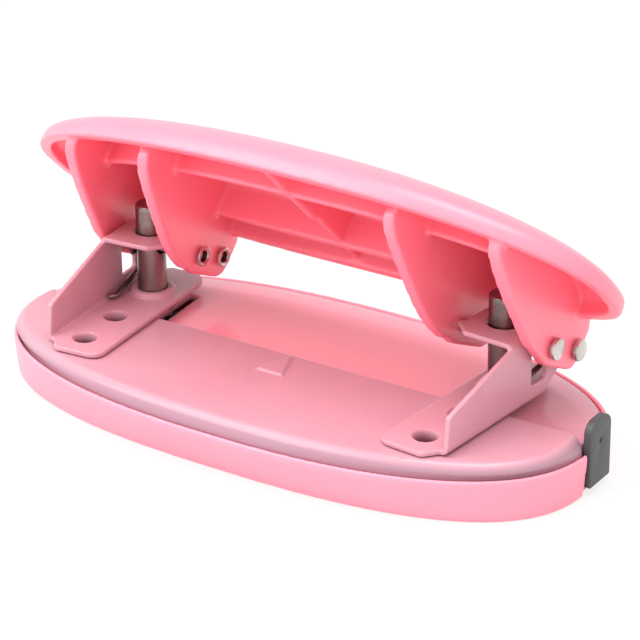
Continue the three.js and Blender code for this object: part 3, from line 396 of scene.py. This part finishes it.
def over(tree, share, under, colour):
    """A plain colour laid over another by a share."""
    mix = tree.nodes.new("ShaderNodeMix")
    mix.data_type = "RGBA"
    tree.links.new(share, mix.inputs["Factor"])
    tree.links.new(under, mix.inputs[6])
    mix.inputs[7].default_value = (*colour, 1)
    return mix.outputs[2]


def shade(colour, share):
    return tuple(max(0.0, min(1.0, c * share)) for c in colour)


def surface(tree, bsdf, colour, gloss, rough, height, strength, depth):
    """Links the colour, a roughness between two values by one source, and a relief in metres by another."""
    tree.links.new(colour, bsdf.inputs["Base Color"])
    tree.links.new(map_range(tree, gloss, 0.0, 1.0, *rough), bsdf.inputs["Roughness"])
    relief = tree.nodes.new("ShaderNodeBump")
    relief.inputs["Strength"].default_value = strength
    relief.inputs["Distance"].default_value = depth
    tree.links.new(height, relief.inputs["Height"])
    tree.links.new(relief.outputs["Normal"], bsdf.inputs["Normal"])


def coat(bsdf, weight, rough):
    bsdf.inputs["Coat Weight"].default_value = weight
    bsdf.inputs["Coat Roughness"].default_value = rough


# ---------- materials ----------

DUST = (0.36, 0.13, 0.16)
PLATE_DUST = (0.34, 0.13, 0.16)
# Painted highlight: a pale line along the top edge of the plate's step.
BEND_HIGHLIGHT_PINK = (0.85, 0.58, 0.63)
# Painted reflection: the handle's deep pink on the rear level behind the step.
REAR_REFLECTION_PINK = (0.84, 0.275, 0.35)
# Painted shade: the plate's flank in front of the step made darker and greyer.
FLANK_SHADE_PINK = (0.36, 0.195, 0.245)


def plastic(name, colour, rough, grain=900, depth=0.00002, glow=0.0, gloss=0.0):
    """Moulded plastic: a broad change of tint, a fine grain and, with glow, some light let in."""
    mat, tree, bsdf = nodes_of(name)
    broad = noise(tree, 35, 2)
    fine = noise(tree, grain, 4, 0.6)
    tint = ramp(tree, broad, [(0.3, shade(colour, 0.965)), (0.7, shade(colour, 1.02))])
    surface(tree, bsdf, tint, fine, rough, fine, 0.25, depth)
    coat(bsdf, gloss, 0.28)
    if glow:
        bsdf.inputs["Subsurface Weight"].default_value = glow
        bsdf.inputs["Subsurface Radius"].default_value = (0.004, 0.0015, 0.0018)
        bsdf.inputs["Subsurface Scale"].default_value = 0.5
    return mat


def painted_plate_light(tree, colour):
    """Painted light on the plate's paint: a painted reflection of the handle's deep pink behind the step, painted
    shade on the flank in front of the step, and a painted highlight line along the step's edge.
    """
    x, y, z = xyz(tree, "Object")
    # A painted reflection: the handle's deep pink laid on the rear level behind the step, fading towards the
    # ends.
    behind = between(tree, y, STEP_LINE_Y, STEP_LINE_Y + 1.2)
    level = between(tree, z, 9.0, 9.6)
    middle = between(tree, reckon(tree, "ABSOLUTE", x), 28, 52, 1.0, 0.35)
    rear = reckon(tree, "MULTIPLY", reckon(tree, "MULTIPLY", behind, level), middle)
    colour = over(tree, rear, colour, REAR_REFLECTION_PINK)
    # Painted shade: the flank in front of the step and below its top is made darker and greyer.
    before = between(tree, y, STEP_LINE_Y - 0.2, STEP_LINE_Y, 1.0, 0.0)
    below = between(tree, z, 10.3, 11.3, 1.0, 0.0)
    colour = over(tree, reckon(tree, "MULTIPLY", before, below), colour, FLANK_SHADE_PINK)
    # A painted highlight: a pale line laid along the step's top edge.
    gap = reckon(tree, "ABSOLUTE", reckon(tree, "SUBTRACT", y, STEP_LINE_Y * MM))
    bend = between(tree, gap, 0.08, 0.3, 0.85, 0.0)
    top = between(tree, z, 10.9, 11.3)
    return over(tree, reckon(tree, "MULTIPLY", bend, top), colour, BEND_HIGHLIGHT_PINK)


def paint(name, colour, dust, with_painted_light=False):
    """Paint on pressed steel: orange peel, cloudy tone and a few specks of dust under the coat. For the plate it
    also carries painted light: a painted reflection, painted shade and a painted highlight line.
    """
    mat, tree, bsdf = nodes_of(name)
    cloud = noise(tree, 60, 4, 0.6)
    peel = noise(tree, 1100, 2, 0.5)
    specks = noise(tree, 1500, 2, 0.5)
    tone = ramp(tree, cloud, [(0.3, shade(colour, 0.95)), (0.55, colour), (0.75, shade(colour, 1.04))])
    spots = ramp(tree, specks, [(0.72, (0, 0, 0)), (0.77, (1, 1, 1))])
    shown = over(tree, spots, tone, dust)
    # The plate's paint also gets painted light: a painted reflection, painted shade and a painted highlight line.
    if with_painted_light:
        shown = painted_plate_light(tree, shown)
    surface(tree, bsdf, shown, cloud, (0.34, 0.48), peel, 0.22, 0.00003)
    bsdf.inputs["Specular IOR Level"].default_value = 0.25
    coat(bsdf, 0.5, 0.1)
    return mat


def steel(name, dark, light, rough, stretch):
    """Ground or drawn steel: marks stretched along one axis over a cloudy tone."""
    mat, tree, bsdf = nodes_of(name)
    marks = noise(tree, 260, 6, 0.5, stretch)
    tone = ramp(tree, marks, [(0.3, dark), (0.7, light)])
    bsdf.inputs["Metallic"].default_value = 1.0
    surface(tree, bsdf, tone, marks, (rough - 0.08, rough + 0.1), marks, 0.3, 0.00003)
    return mat


ALONG_X, ALONG_Y, ALONG_Z = (0.3, 1.0, 1.0), (1.0, 0.2, 1.0), (1.0, 1.0, 0.12)
HANDLE_PINK = plastic("handle_pink", (1.0, 0.203, 0.276), (0.32, 0.44), glow=0.06, gloss=0.4)
TRAY_PINK = plastic("tray_pink", (1.0, 0.268, 0.352), (0.34, 0.46), glow=0.08, gloss=0.15)
STEEL_PINK = paint("steel_pink", (0.57, 0.262, 0.315), DUST)
# The plate's paint carries painted reflection, painted shade and a painted highlight.
PLATE_PINK = paint("plate_pink", (0.535, 0.256, 0.31), PLATE_DUST, with_painted_light=True)
PUNCH = steel("ground_steel", (0.11, 0.09, 0.085), (0.34, 0.29, 0.27), 0.3, ALONG_Z)
PIN = steel("pin_steel", (0.5, 0.45, 0.42), (0.82, 0.78, 0.74), 0.3, ALONG_X)
WIRE = steel("spring_wire", (0.12, 0.085, 0.08), (0.36, 0.28, 0.26), 0.3, ALONG_Y)
# Painted shade: the bores of the rivets' hollow ends are made near black.
BORE_SHADE = steel("rivet_bore_shade", (0.05, 0.03, 0.025), (0.16, 0.09, 0.07), 0.5, ALONG_X)
DIE = steel("die_steel", (0.2, 0.19, 0.185), (0.4, 0.38, 0.37), 0.34, (1.0, 1.0, 0.3))
BLACK = plastic("guide_black", (0.062, 0.061, 0.066), (0.38, 0.55), grain=1500, depth=0.00004)


# ---------- handle ----------

RIM_Q = 5.1  # the shell's rim
EDGE_Q = 6.95  # where its dome begins
RISE = 8.8  # the dome's height
TOP_Q = 15.75
HANDLE_MIDDLE = -17.4
SHELL_WALL, SHELL_ROOF = 2.45, 2.2
RIB_Q = 5.8  # the ribs' lower edge
RIB_THICK = 1.5
REAR_RIB_REACH = 29.9
EAR_THICK = 2.3
EAR_TAPER = 0.16  # how much thicker an ear is at its root
HEEL_Q = 7.3  # top of an ear behind the shell
EAR_LOW_Q = 5.12  # outside the shell an ear ends here, but for its heel


def dome(inset, top_inset, rim):
    """The dome falls off by a power of 2.4 towards the front and back, and of 2 towards its ends."""
    def plan(scale, ends):
        return lens((62.7 - inset) * ends, HANDLE_MIDDLE, (28.4 - inset) * scale, 2.3, (20 - inset) * scale, 2.8)
    rings = [(rim, plan(1, 1)), (EDGE_Q, plan(1, 1))]
    for k in range(1, 25):
        share = math.sin(math.pi / 2 * k / 24.4)
        left = 1 - share ** 2
        rings.append((EDGE_Q + (RISE - top_inset) * share, plan(left ** (1 / 2.4), left ** 0.5)))
    return loft(rings)


def rib(place, reach):
    """A wall of even thickness along a curve y = place(x)."""
    steps, nearby = 64, 0.01
    near, far = [], []
    for k in range(steps + 1):
        x = -reach + 2 * reach * k / steps
        slope = (place(x + nearby) - place(x - nearby)) / (2 * nearby)
        half = RIB_THICK / 2 * math.hypot(1, slope)
        near.append((x, place(x) - half))
        far.insert(0, (x, place(x) + half))
    return prism(near + far, RIB_Q, TOP_Q)


def front_rib(x):
    share = min(abs(x) / 49.4, 1)
    return HANDLE_MIDDLE - 13.8 * (1 - share ** 2.3) ** (1 / 2.3)


def rear_rib(x):
    return -7.2 - 0.9 * (x / REAR_RIB_REACH) ** 2


def ear_outline(front, belly, nose, centre, top):
    """Down the front, round the drive pin by the belly's radius and round the nose to the heel."""
    points = [tuple(p) for p in front]
    along = (centre[0] - DRIVE_PQ[0], centre[1] - DRIVE_PQ[1])
    lean = math.atan2(along[1], along[0]) - math.asin((nose - belly) / math.hypot(*along)) - math.pi / 2
    for middle, radius, start, end in ((DRIVE_PQ, belly, lean - math.pi / 5, lean), (centre, nose, lean, 0)):
        for k in range(13):
            turn = start + (end - start) * k / 12
            points.append((middle[0] + radius * math.cos(turn), middle[1] + radius * math.sin(turn)))
    rear = centre[0] + nose
    return points + [(rear, RIM_Q), (rear - 1.3, HEEL_Q), (rear - 1.3, top), (front[0][0], top)]


def eased(points):
    """An open run of points with its corners cut twice, ends kept."""
    for _ in range(2):
        out = [points[0]]
        for (a, b), (c, d) in zip(points, points[1:]):
            out += [(0.75 * a + 0.25 * c, 0.75 * b + 0.25 * d), (0.25 * a + 0.75 * c, 0.25 * b + 0.75 * d)]
        points = out + [points[-1]]
    return points


INNER_FRONT = [(-40.7, 5.3), (-41, 3.4), (-38.6, 1.1), (-33.5, -1.2), (-26.5, -3.9), (-20.5, -6.1),
               (-15.5, -7.2), (-11, -7.35)]
OUTER_FRONT = [(-37, 5.3), (-36.8, 3.3), (-33.6, 1.2), (-27.2, -1.5), (-20.4, -3.8), (-14.6, -5.7)]
# Front edge, belly radius, nose radius, nose centre and station.
EARS = ((INNER_FRONT, 3.9, 4.3, (0, 0), INNER_STATION), (OUTER_FRONT, 3.5, 3.3, (-1, -1.1), OUTER_STATION))


def blade(points, station, side):
    """An ear's outline as a plate that thickens upwards, toed and at its station."""
    verts, faces = side_prism(points, -EAR_THICK / 2, EAR_THICK / 2)
    low = min(q for p, q in points)
    verts = [(x * (1 + EAR_TAPER * (z - low) / (TOP_Q - low)), y - TOE_P, z) for x, y, z in verts]
    return moved(spun((verts, faces), -side * TOE), side * station, TOE_P)


def build_handle():
    outside = dome(0, 0, RIM_Q)
    parts = [cut(make("shell", outside), dome(SHELL_WALL, SHELL_ROOF, 0.0))]
    middle_rib = side_prism([(-46, RIB_Q), (-20, RIB_Q), (-20, 6.5), (2.4, 6.5), (2.4, TOP_Q), (-46, TOP_Q)],
                            -RIB_THICK / 2, RIB_THICK / 2)
    for body in (rib(front_rib, 46.8), rib(rear_rib, REAR_RIB_REACH), middle_rib):
        parts.append(cut(make("rib", body), outside, "INTERSECT"))
    for side in (-1, 1):
        for front, belly, nose, centre, station in EARS:
            line = eased(front)
            root = make("ear", blade(ear_outline(line, belly, nose, centre, TOP_Q), station, side))
            parts.append(cut(root, outside, "INTERSECT"))
            rest = make("ear", blade(ear_outline(line, belly, nose, centre, HEEL_Q), station, side))
            parts.append(cut(rest, box(-FAR, FAR, -FAR, centre[0] + nose - 7, EAR_LOW_Q, 40)))
    handle = refine(join(parts, "handle_shell"), 0.3, 15, 0.45)
    tilt = Matrix.Translation((0, HINGE[0] * MM, HINGE[1] * MM)) @ Matrix.Rotation(-OPEN, 4, "X")
    handle.data.transform(tilt)
    dress(handle, "lever", "handle", HANDLE_PINK)


# ---------- base plate ----------

PLATE_LOW_Z = 7.6
PLATE_SHEET = 1.2
# Height as a share of the flank, then how far it has leaned in at the front, the back and the ends.
LEAN = [(0, 0, 0, 0), (0.13, 0.005, 0.01, 0.02), (0.25, 0.02, 0.03, 0.05), (0.34, 0.04, 0.09, 0.08),
        (0.43, 0.08, 0.28, 0.13), (0.51, 0.12, 0.55, 0.2), (0.58, 0.18, 0.77, 0.3), (0.66, 0.25, 0.82, 0.38),
        (0.74, 0.33, 0.85, 0.46), (0.82, 0.44, 0.885, 0.56), (0.89, 0.58, 0.92, 0.68), (0.96, 0.76, 0.97, 0.82),
        (1, 1, 1, 1)]
PLATE_END_X = 60.9  # where the plate stops for the guide
TRAY_END_X = 61  # and the tray
MARK_FOOT = [(-4.15, -16.55), (2.15, -16.55), (-1, -8.15)]
MARK_TOP = [(-3.75, -16.15), (1.8, -16.15), (-1, -8.7)]
MARK_HEIGHT = 0.42


def plate_loft(inset, drop):
    rings = []
    for height, front, back, end in LEAN:
        z = PLATE_LOW_Z + (PLATE_Z - PLATE_LOW_Z) * height - drop
        rings.append((z, oval(61.6 - 2.6 * end - inset, -37.6 + 2.35 * front + inset, 23.2 - 10 * back - inset)))
    return loft(rings)


def end_notch(x, margin):
    """Room for the guide's stop at the +X end."""
    return box(x - margin, FAR, -8.7 - margin, -0.1 + margin, -5, TALL)


def plate_slot(side):
    """The dark slot along the inner edge of a bracket's foot."""
    slot = moved(spun(box(-6.5, -4.25, -8.3, 7, 0, TALL), -TOE), STATION)
    return slot if side > 0 else ([(-x, y, z) for x, y, z in slot[0]], [tuple(reversed(f)) for f in slot[1]])


def eyelet_spots():
    """The two eyelets of the right bracket, in the bracket's own u across and v along."""
    u = 0.23
    for v in (-24.4, -13.5):
        yield STATION + u * math.cos(TOE) + v * math.sin(TOE), -u * math.sin(TOE) + v * math.cos(TOE)


def build_plate():
    plate = make("base_plate_skin", plate_loft(0, 0))
    cut(plate, box(-FAR, FAR, STEP_Y, FAR, REAR_Z, TALL))
    cut(plate, end_notch(PLATE_END_X, 0))
    hollow = make("hollow", plate_loft(PLATE_SHEET, PLATE_SHEET))
    cut(hollow, box(-FAR, FAR, STEP_Y - PLATE_SHEET, FAR, REAR_Z - PLATE_SHEET, TALL))
    cut(hollow, end_notch(PLATE_END_X, PLATE_SHEET))
    cut(plate, taken(hollow))
    die_hole, eyelet_hole = 4.06, 2.9
    holes = []
    for side in (-1, 1):
        holes.append(rod_z(side * STATION, 0, die_hole, 0, 30))
        holes.append(plate_slot(side))
        for x, y in eyelet_spots():
            holes.append(rod_z(side * x, y, eyelet_hole, 0, 30))
    cut(plate, merged(holes))
    mark = loft([(PLATE_Z - 0.5, MARK_FOOT), (PLATE_Z, MARK_FOOT), (PLATE_Z + MARK_HEIGHT, MARK_TOP)])
    cut(plate, mark, "UNION")
    refine(plate, 0.24, 1, 0.36)
    dress(plate, "base", "base_plate", PLATE_PINK)


# ---------- chip tray: rows of z, half length, front, back and power ----------

TRAY_FOOT = [(0.0, 61.6, -35.3, 21.8, 2.6), (0.25, 61.85, -35.55, 22.05, 2.6), (0.7, 62, -35.7, 22.2, 2.6)]
TRAY_RIM = [(8.45, 62.65, -38.65, 24.25, 2.35), (8.7, 62.45, -38.45, 24.05, 2.35)]
TRAY_HOLLOW = [(1.2, 60.5, -34.2, 20.7, 2.6), (7.4, 60.1, -36.1, 21.7, 2.35)]
TRAY_REBATE = [(7.35, 61.85, -37.85, 23.45, 2.35), (8.5, 61.85, -37.85, 23.45, 2.35),
               (8.7, 62.05, -38.05, 23.65, 2.35), (12, 62.05, -38.05, 23.65, 2.35)]


def tray_loft(rows):
    return loft([(z, oval(half, front, back, power)) for z, half, front, back, power in rows])


def tray_side(t):
    """The leaning side at a share t of its height."""
    return 0.7 + 6.65 * t, 62 + 0.65 * t, -35.7 - 2.95 * t, 22.2 + 2.05 * t, 2.6 - 0.25 * t


def build_tray():
    tray = make("chip_tray_skin", tray_loft(TRAY_FOOT + [tray_side(k / 8) for k in range(1, 9)] + TRAY_RIM))
    hollow = cut(make("hollow", tray_loft(TRAY_HOLLOW)), end_notch(TRAY_END_X, 1.5))
    cut(tray, taken(hollow))
    cut(tray, tray_loft(TRAY_REBATE))
    tunnel_wall, tunnel = box(-50.9, TRAY_END_X, -9.1, 0.3, 1.0, 4.5), box(-50, 70, -8.2, -0.6, 1.4, 3.6)
    cut(tray, tunnel_wall, "UNION")
    cut(tray, end_notch(TRAY_END_X, 0))
    refine(tray, 0.32, 3, 0.4)
    cut(tray, tunnel)
    dress(tray, "tray", "chip_tray", TRAY_PINK)


# ---------- brackets and what they hold ----------

def build_bracket():
    """A sheet bent twice, as foot, web and top, each trimmed to its own outline, in u, v and height."""
    outer, inner, roof, bend, sheet = 7.06, 6.06, 13.06, 0.3, 1
    bent = rounded([(-12, -sheet, 0), (outer, -sheet, sheet + bend), (outer, roof, sheet + bend), (-12, roof, 0),
                    (-12, roof - sheet, 0), (inner, roof - sheet, bend), (inner, 0, bend), (-12, 0, 0)])
    foot = rounded([(-6.4, -30.3, 2.5), (3.4, -30.3, 1.5), (inner, -26.6, 0), (outer, -26.6, 0), (outer, 4.6, 0),
                    (inner - bend, 4.6, 1.5), (2.9, 11.4, 1.5), (-6.4, 11.4, 4.2)])
    top = rounded([(-6.2, -5.1, 0.8), (-3.7, -7.6, 0.8), (outer, -7.6, 0), (outer, 3, 0), (-1, 5.5, 2.4),
                   (-6.2, 5.5, 2.4)])
    nose = [(HINGE[0] + 3.3 * math.cos(t), 7 + 3.3 * math.sin(t))
            for t in (math.radians(-45 + 105 * k / 16) for k in range(17))]
    front = rounded([(3, roof - sheet, 0), (3, 18, 0), (-7.6, 18, 0), (-7.6, roof - sheet, 0), (-26.6, 6.42, 0.8),
                     (-27.45, -1, 0), (-27.45, -6, 0)])
    web = [(4.4, -6), (4.4, 0.5)] + nose + front
    trims = prism(foot, -6, bend + 0.02), prism(top, roof - sheet - bend, 18), side_prism(web, inner - bend, 12)
    parts = [cut(make("bent", end_prism(bent, -40, 40)), trim, "INTERSECT") for trim in trims]
    collar = [(0, -0.3), (4.55, -0.3), (4.5, 0.45), (4.3, 0.85), (3.9, 1.0), (0, 1.0)]
    parts.append(make("collar", turned(collar)))
    bracket = join(parts, "bracket_sheet_right")
    bracket.data.transform(Matrix.Translation((STATION * MM, 0, FLANGE_Z * MM)) @ Matrix.Rotation(-TOE, 4, "Z"))
    skin(bracket, 0.16)
    settle(bracket)
    window = rounded([(-1.85, 15.3, 0.8), (3, 15.3, 0.8), (3, 24.4, 0.8), (-1.85, 24.4, 0.8)])
    hinge_hole, foot_hole, top_hole, eyelet_hole = 1.38, 2.97, 3.25, 2.4
    holes = [side_prism(window, 44.5, 52), rod_x(HINGE[0], HINGE[1], hinge_hole, 42, 52),
             rod_z(STATION, 0, foot_hole, 5, 16), rod_z(STATION, 0, top_hole, 20, 30)]
    holes += [rod_z(x, y, eyelet_hole, 5, 16) for x, y in eyelet_spots()]
    cut(bracket, merged(holes))
    refine(bracket, 0.17, 4, 0.4)
    left = mirrored(bracket, "bracket_sheet_left")
    dress(bracket, "base", "bracket_right", STEEL_PINK)
    dress(left, "base", "bracket_left", STEEL_PINK)


def build_eyelets():
    profile = [(2.23, 9.4), (3.3, 9.4), (3.5, 9.6), (3.5, 10.1), (2.8, 10.2), (2.8, 11.6), (2.4, 11.7),
               (2.4, 12.5), (2.36, 12.58), (2.29, 12.58), (2.23, 12.5)]
    for side, word in SIDES:
        for (x, y), place in zip(eyelet_spots(), ("front", "rear")):
            obj = make(f"eyelet_tube_{place}_{word}", moved(turned(profile), side * x, y))
            dress(obj, "base", f"eyelet_{place}_{word}", STEEL_PINK)


def build_punches():
    """Four ground rings near the top, a cross slot for the drive pin and a saddle-shaped cutting edge."""
    low, top = FLANGE_Z - 0.9, FLANGE_Z + 18.9
    radius, groove = 2.88, 2.82
    slot_front, slot_back, slot_half = -1.58, 1.9, 1.45
    profile = [(0, low), (radius, low), (radius, top - 3.2)]
    for k in range(5):
        z = top - 3.0 + 0.42 * k
        profile += [(radius, z), (groove, z + 0.06), (groove, z + 0.14), (radius, z + 0.2)]
    profile += [(radius, top - 0.5), (2.8, top - 0.28), (2.6, top - 0.08), (2.4, top), (2.2, top - 0.02),
                (0, top - 0.1)]
    slot = rounded([(slot_front, DRIVE[1] - slot_half, 1.4), (slot_back, DRIVE[1] - slot_half, 1.4),
                    (slot_back, DRIVE[1] + slot_half, 1.4), (slot_front, DRIVE[1] + slot_half, 1.4)])
    saddle = [(-2.9, low - 3), (2.9, low - 3), (2.9, low), (0.25, low + 1.1), (-0.25, low + 1.1), (-2.9, low)]
    for side, word in SIDES:
        punch = make(f"punch_rod_{word}", turned(profile, 96))
        cut(punch, side_prism(slot, -5, 5))
        cut(punch, end_prism(saddle, -5, 5))
        punch.data.transform(Matrix.Translation((side * STATION * MM, 0, 0)))
        dress(sharp(punch), f"punch_{word}", f"punch_{word}", PUNCH)


def pin_body(y, z, p):
    """A rivet along X: a rolled hollow end on the inner ear, a flat head on the outer ear."""
    gap, roll = 0.28, 0.8
    swell = EAR_THICK * (1 + EAR_TAPER) / 2
    slope = math.tan(TOE) * (p - TOE_P)
    low = INNER_STATION + slope - swell - gap - roll
    high = OUTER_STATION + slope + swell + gap
    profile = [(0, low + 3.2), (0.95, low + 3.2), (0.95, low + 0.7), (1.15, low + 0.35), (1.5, low + 0.08),
               (1.68, low), (1.86, low + 0.05), (2.0, low + 0.2), (2.02, low + 0.4), (1.9, low + 0.7),
               (1.7, low + roll), (1.3, low + 0.85), (1.3, high), (1.9, high), (2.08, high + 0.08),
               (2.1, high + 0.2), (2.1, high + 0.66), (2.02, high + 0.8), (1.85, high + 0.88), (0, high + 0.9)]
    verts, faces = turned(profile, 56)
    return [(w, y + u, z + v) for u, v, w in verts], faces


def build_pins():
    bore = 1.1
    for stem, (y, z), p in (("hinge_pin", HINGE, 0), ("drive_pin", DRIVE, DRIVE_PQ[0])):
        right = make(f"{stem}_rivet_right", pin_body(y, z, p))
        left = mirrored(right, f"{stem}_rivet_left")
        for obj, word in ((right, "right"), (left, "left")):
            dress(sharp(obj), "lever", f"{stem}_{word}", PIN)
            # The faces inside the hollow ends get the near-black steel as painted shade.
            obj.data.materials.append(BORE_SHADE)
            for face in obj.data.polygons:
                radius = math.hypot(face.center.y / MM - y, face.center.z / MM - z)
                inboard = abs(face.center.x) / MM < STATION
                face.material_index = int(inboard and radius < bore)


# ---------- springs ----------

def spring_path():
    """A hook and a foot on the bracket, a leg up to the coil round the hinge pin, and an arm to the ears."""
    foot = Vector((43.6, -7.4, FLANGE_Z + 0.9))
    hook = Vector((44.5, -8.6, foot.z))
    arm = Vector((44.1, -1.2, FLANGE_Z + 7.72))
    coil_radius, coil_x, pitch = 2.6, 45.55, 2.1

    def tangent(point, side):
        dy, dz = point.y - HINGE[0], point.z - HINGE[1]
        return math.atan2(dz, dy) + side * math.acos(coil_radius / math.hypot(dy, dz))
    start, end = tangent(foot, 1), tangent(arm, -1) + 2 * math.pi
    turns = (end - start) / (2 * math.pi)
    coil = []
    for k in range(49):
        t = k / 48
        turn = start + (end - start) * t
        y, z = HINGE[0] + coil_radius * math.cos(turn), HINGE[1] + coil_radius * math.sin(turn)
        coil.append(Vector((coil_x - pitch * turns * t, y, z)))
    bend = [hook.lerp(foot, 0.5), hook.lerp(foot, 0.8), foot.lerp(coil[0], 0.006) + (hook - foot) * 0.06,
            foot.lerp(coil[0], 0.025)]
    leg = [foot.lerp(coil[0], t) for t in (0.1, 0.25, 0.45, 0.65, 0.85)]
    reach = [coil[-1].lerp(arm, t) for t in (0.15, 0.4, 0.7, 1.0)]
    return [hook] + bend + leg + coil + reach


def wire(path):
    radius, sides = 0.58, 12
    verts, faces = [], []
    side = Vector((0, 0, 1))
    last = len(path) - 1
    for i, point in enumerate(path):
        ahead = (path[min(i + 1, last)] - path[max(i - 1, 0)]).normalized()
        side = (side - ahead * side.dot(ahead)).normalized()
        across = ahead.cross(side)
        for turn in full_turn(sides):
            verts.append(tuple(point + radius * (math.cos(turn) * side + math.sin(turn) * across)))
    for i in range(last):
        for k in range(sides):
            a, b = i * sides + k, i * sides + (k + 1) % sides
            faces.append((a, b, b + sides, a + sides))
    faces.append(tuple(reversed(range(sides))))
    faces.append(tuple(range(last * sides, (last + 1) * sides)))
    return verts, faces


def build_springs():
    right = sharp(make("torsion_wire_right", wire(spring_path())), 50)
    left = sharp(mirrored(right, "torsion_wire_left"), 50)
    for obj, word in ((right, "right"), (left, "left")):
        dress(obj, None, f"torsion_spring_{word}", WIRE)
        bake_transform(obj)


# ---------- paper guide ----------

def build_guide():
    side = rounded([(-8.2, 1.5, 0.5), (-0.6, 1.5, 0.5), (-0.6, 14.4, 2.5), (-8.2, 14.4, 2.5)], 10)
    stop = make("guide_stop_plate", side_prism(side, 61.25, 62.85), False)
    dot = rod_x(-4.4, 9.9, 0.55, 62.45, 70, 24)
    cut(stop, dot)
    bevel(stop, 0.28, 3, 50)
    smoothed(stop)
    dress(sharp(stop, 40), "guide", "guide_stop", BLACK)
    ruler = make("guide_ruler_bar", box(-48, 61.1, -8.0, -0.8, 1.6, 3.4), False)
    notches = [box(-36 + 14 * k, -34.9 + 14 * k, -12, 4, 2.95, 6) for k in range(6)]
    cut(ruler, merged(notches))
    bevel(ruler, 0.2, 2, 30)
    dress(sharp(ruler, 40), "guide", "guide_ruler", BLACK)


build_handle()
build_plate()
build_tray()
build_bracket()
build_eyelets()
build_punches()
build_pins()
build_springs()
build_guide()
for _, word in SIDES:
    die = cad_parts[f"die_{word}"]
    die.data.materials.clear()
    die.data.materials.append(DIE)


# ---------- camera, floor and light ----------

def add_camera():
    """The photograph's view."""
    focal, frame_width, sensor = 2722.26, 640, 36  # pixels, pixels and mm
    azimuth, elevation, roll = math.radians(33.61), math.radians(25.18), math.radians(-0.67)
    ca, sa, ce, se = math.cos(azimuth), math.sin(azimuth), math.cos(elevation), math.sin(elevation)
    ahead = Vector((-sa * ce, ca * ce, -se))
    right = Vector((ca, sa, 0))
    up = right.cross(ahead)
    across = math.cos(roll) * right + math.sin(roll) * up
    above = -math.sin(roll) * right + math.cos(roll) * up
    data = bpy.data.cameras.new("camera")
    data.lens = focal / frame_width * sensor
    data.sensor_width = sensor
    data.clip_end = 10
    camera = bpy.data.objects.new("camera", data)
    place = Matrix((across, above, -ahead)).transposed().to_4x4()
    place.translation = Vector((260.15, -391.78, 237.35)) * MM
    camera.matrix_world = place
    bpy.context.scene.collection.objects.link(camera)
    bpy.context.scene.camera = camera


def plain_rays(tree):
    """1 for the rays that show the background: seen directly, mirrored or through glass."""
    paths = tree.nodes.new("ShaderNodeLightPath").outputs
    seen = reckon(tree, "MAXIMUM", paths["Is Camera Ray"], paths["Is Glossy Ray"])
    return reckon(tree, "MAXIMUM", seen, paths["Is Transmission Ray"])


def add_floor():
    """White as seen, with a share of its own lit surface left in, which keeps the object's shadow.
    The tray stands on it, so it goes with the tray."""
    size = 3.0
    mesh = bpy.data.meshes.new("floor")
    mesh.from_pydata([(-size, -size, 0), (size, -size, 0), (size, size, 0), (-size, size, 0)], [], [(0, 1, 2, 3)])
    floor = bpy.data.objects.new("floor", mesh)
    bpy.context.scene.collection.objects.link(floor)
    mat, tree, bsdf = nodes_of("floor_white")
    bsdf.inputs["Base Color"].default_value = (0.72, 0.72, 0.72, 1)
    bsdf.inputs["Roughness"].default_value = 0.8
    plain = tree.nodes.new("ShaderNodeEmission")
    plain.inputs["Strength"].default_value = 1.0
    mix = tree.nodes.new("ShaderNodeMixShader")
    out = tree.nodes["Material Output"]
    tree.links.new(reckon(tree, "MULTIPLY", plain_rays(tree), 0.8), mix.inputs["Fac"])
    tree.links.new(bsdf.outputs["BSDF"], mix.inputs[1])
    tree.links.new(plain.outputs["Emission"], mix.inputs[2])
    tree.links.new(mix.outputs["Shader"], out.inputs["Surface"])
    mesh.materials.append(mat)
    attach(floor, "tray")


def add_light(name, place, size, power):
    """A square lamp that faces the object."""
    target = Vector((0, 0, 0.02))
    data = bpy.data.lights.new(name, "AREA")
    data.size = size
    data.energy = power
    obj = bpy.data.objects.new(name, data)
    obj.location = place
    aim = target - Vector(place)
    obj.rotation_euler = aim.to_track_quat("-Z", "Y").to_euler()
    bpy.context.scene.collection.objects.link(obj)


def add_world():
    """Even light from all round, weaker from behind the part. Seen directly or mirrored it is plain white."""
    world = bpy.data.worlds.new("studio")
    world.use_nodes = True
    tree = world.node_tree
    back = tree.nodes["Background"]
    back.inputs["Color"].default_value = (1, 1, 1, 1)
    _, y, _ = xyz(tree, "Generated")
    fade = map_range(tree, y, 0.0, 0.75, 1.42, 0.55)
    level = tree.nodes.new("ShaderNodeMix")
    level.inputs[3].default_value = 1.0
    tree.links.new(plain_rays(tree), level.inputs["Factor"])
    tree.links.new(fade, level.inputs[2])
    tree.links.new(level.outputs[0], back.inputs["Strength"])
    bpy.context.scene.world = world


add_camera()
add_floor()
add_world()
add_light("key", (-0.45, -0.5, 0.7), 0.6, 4.8)
add_light("top", (0.1, 0.0, 0.95), 0.6, 6.0)
add_light("left", (-0.75, -0.25, 0.2), 0.5, 0.9)
bpy.context.scene.view_settings.view_transform = "Standard"
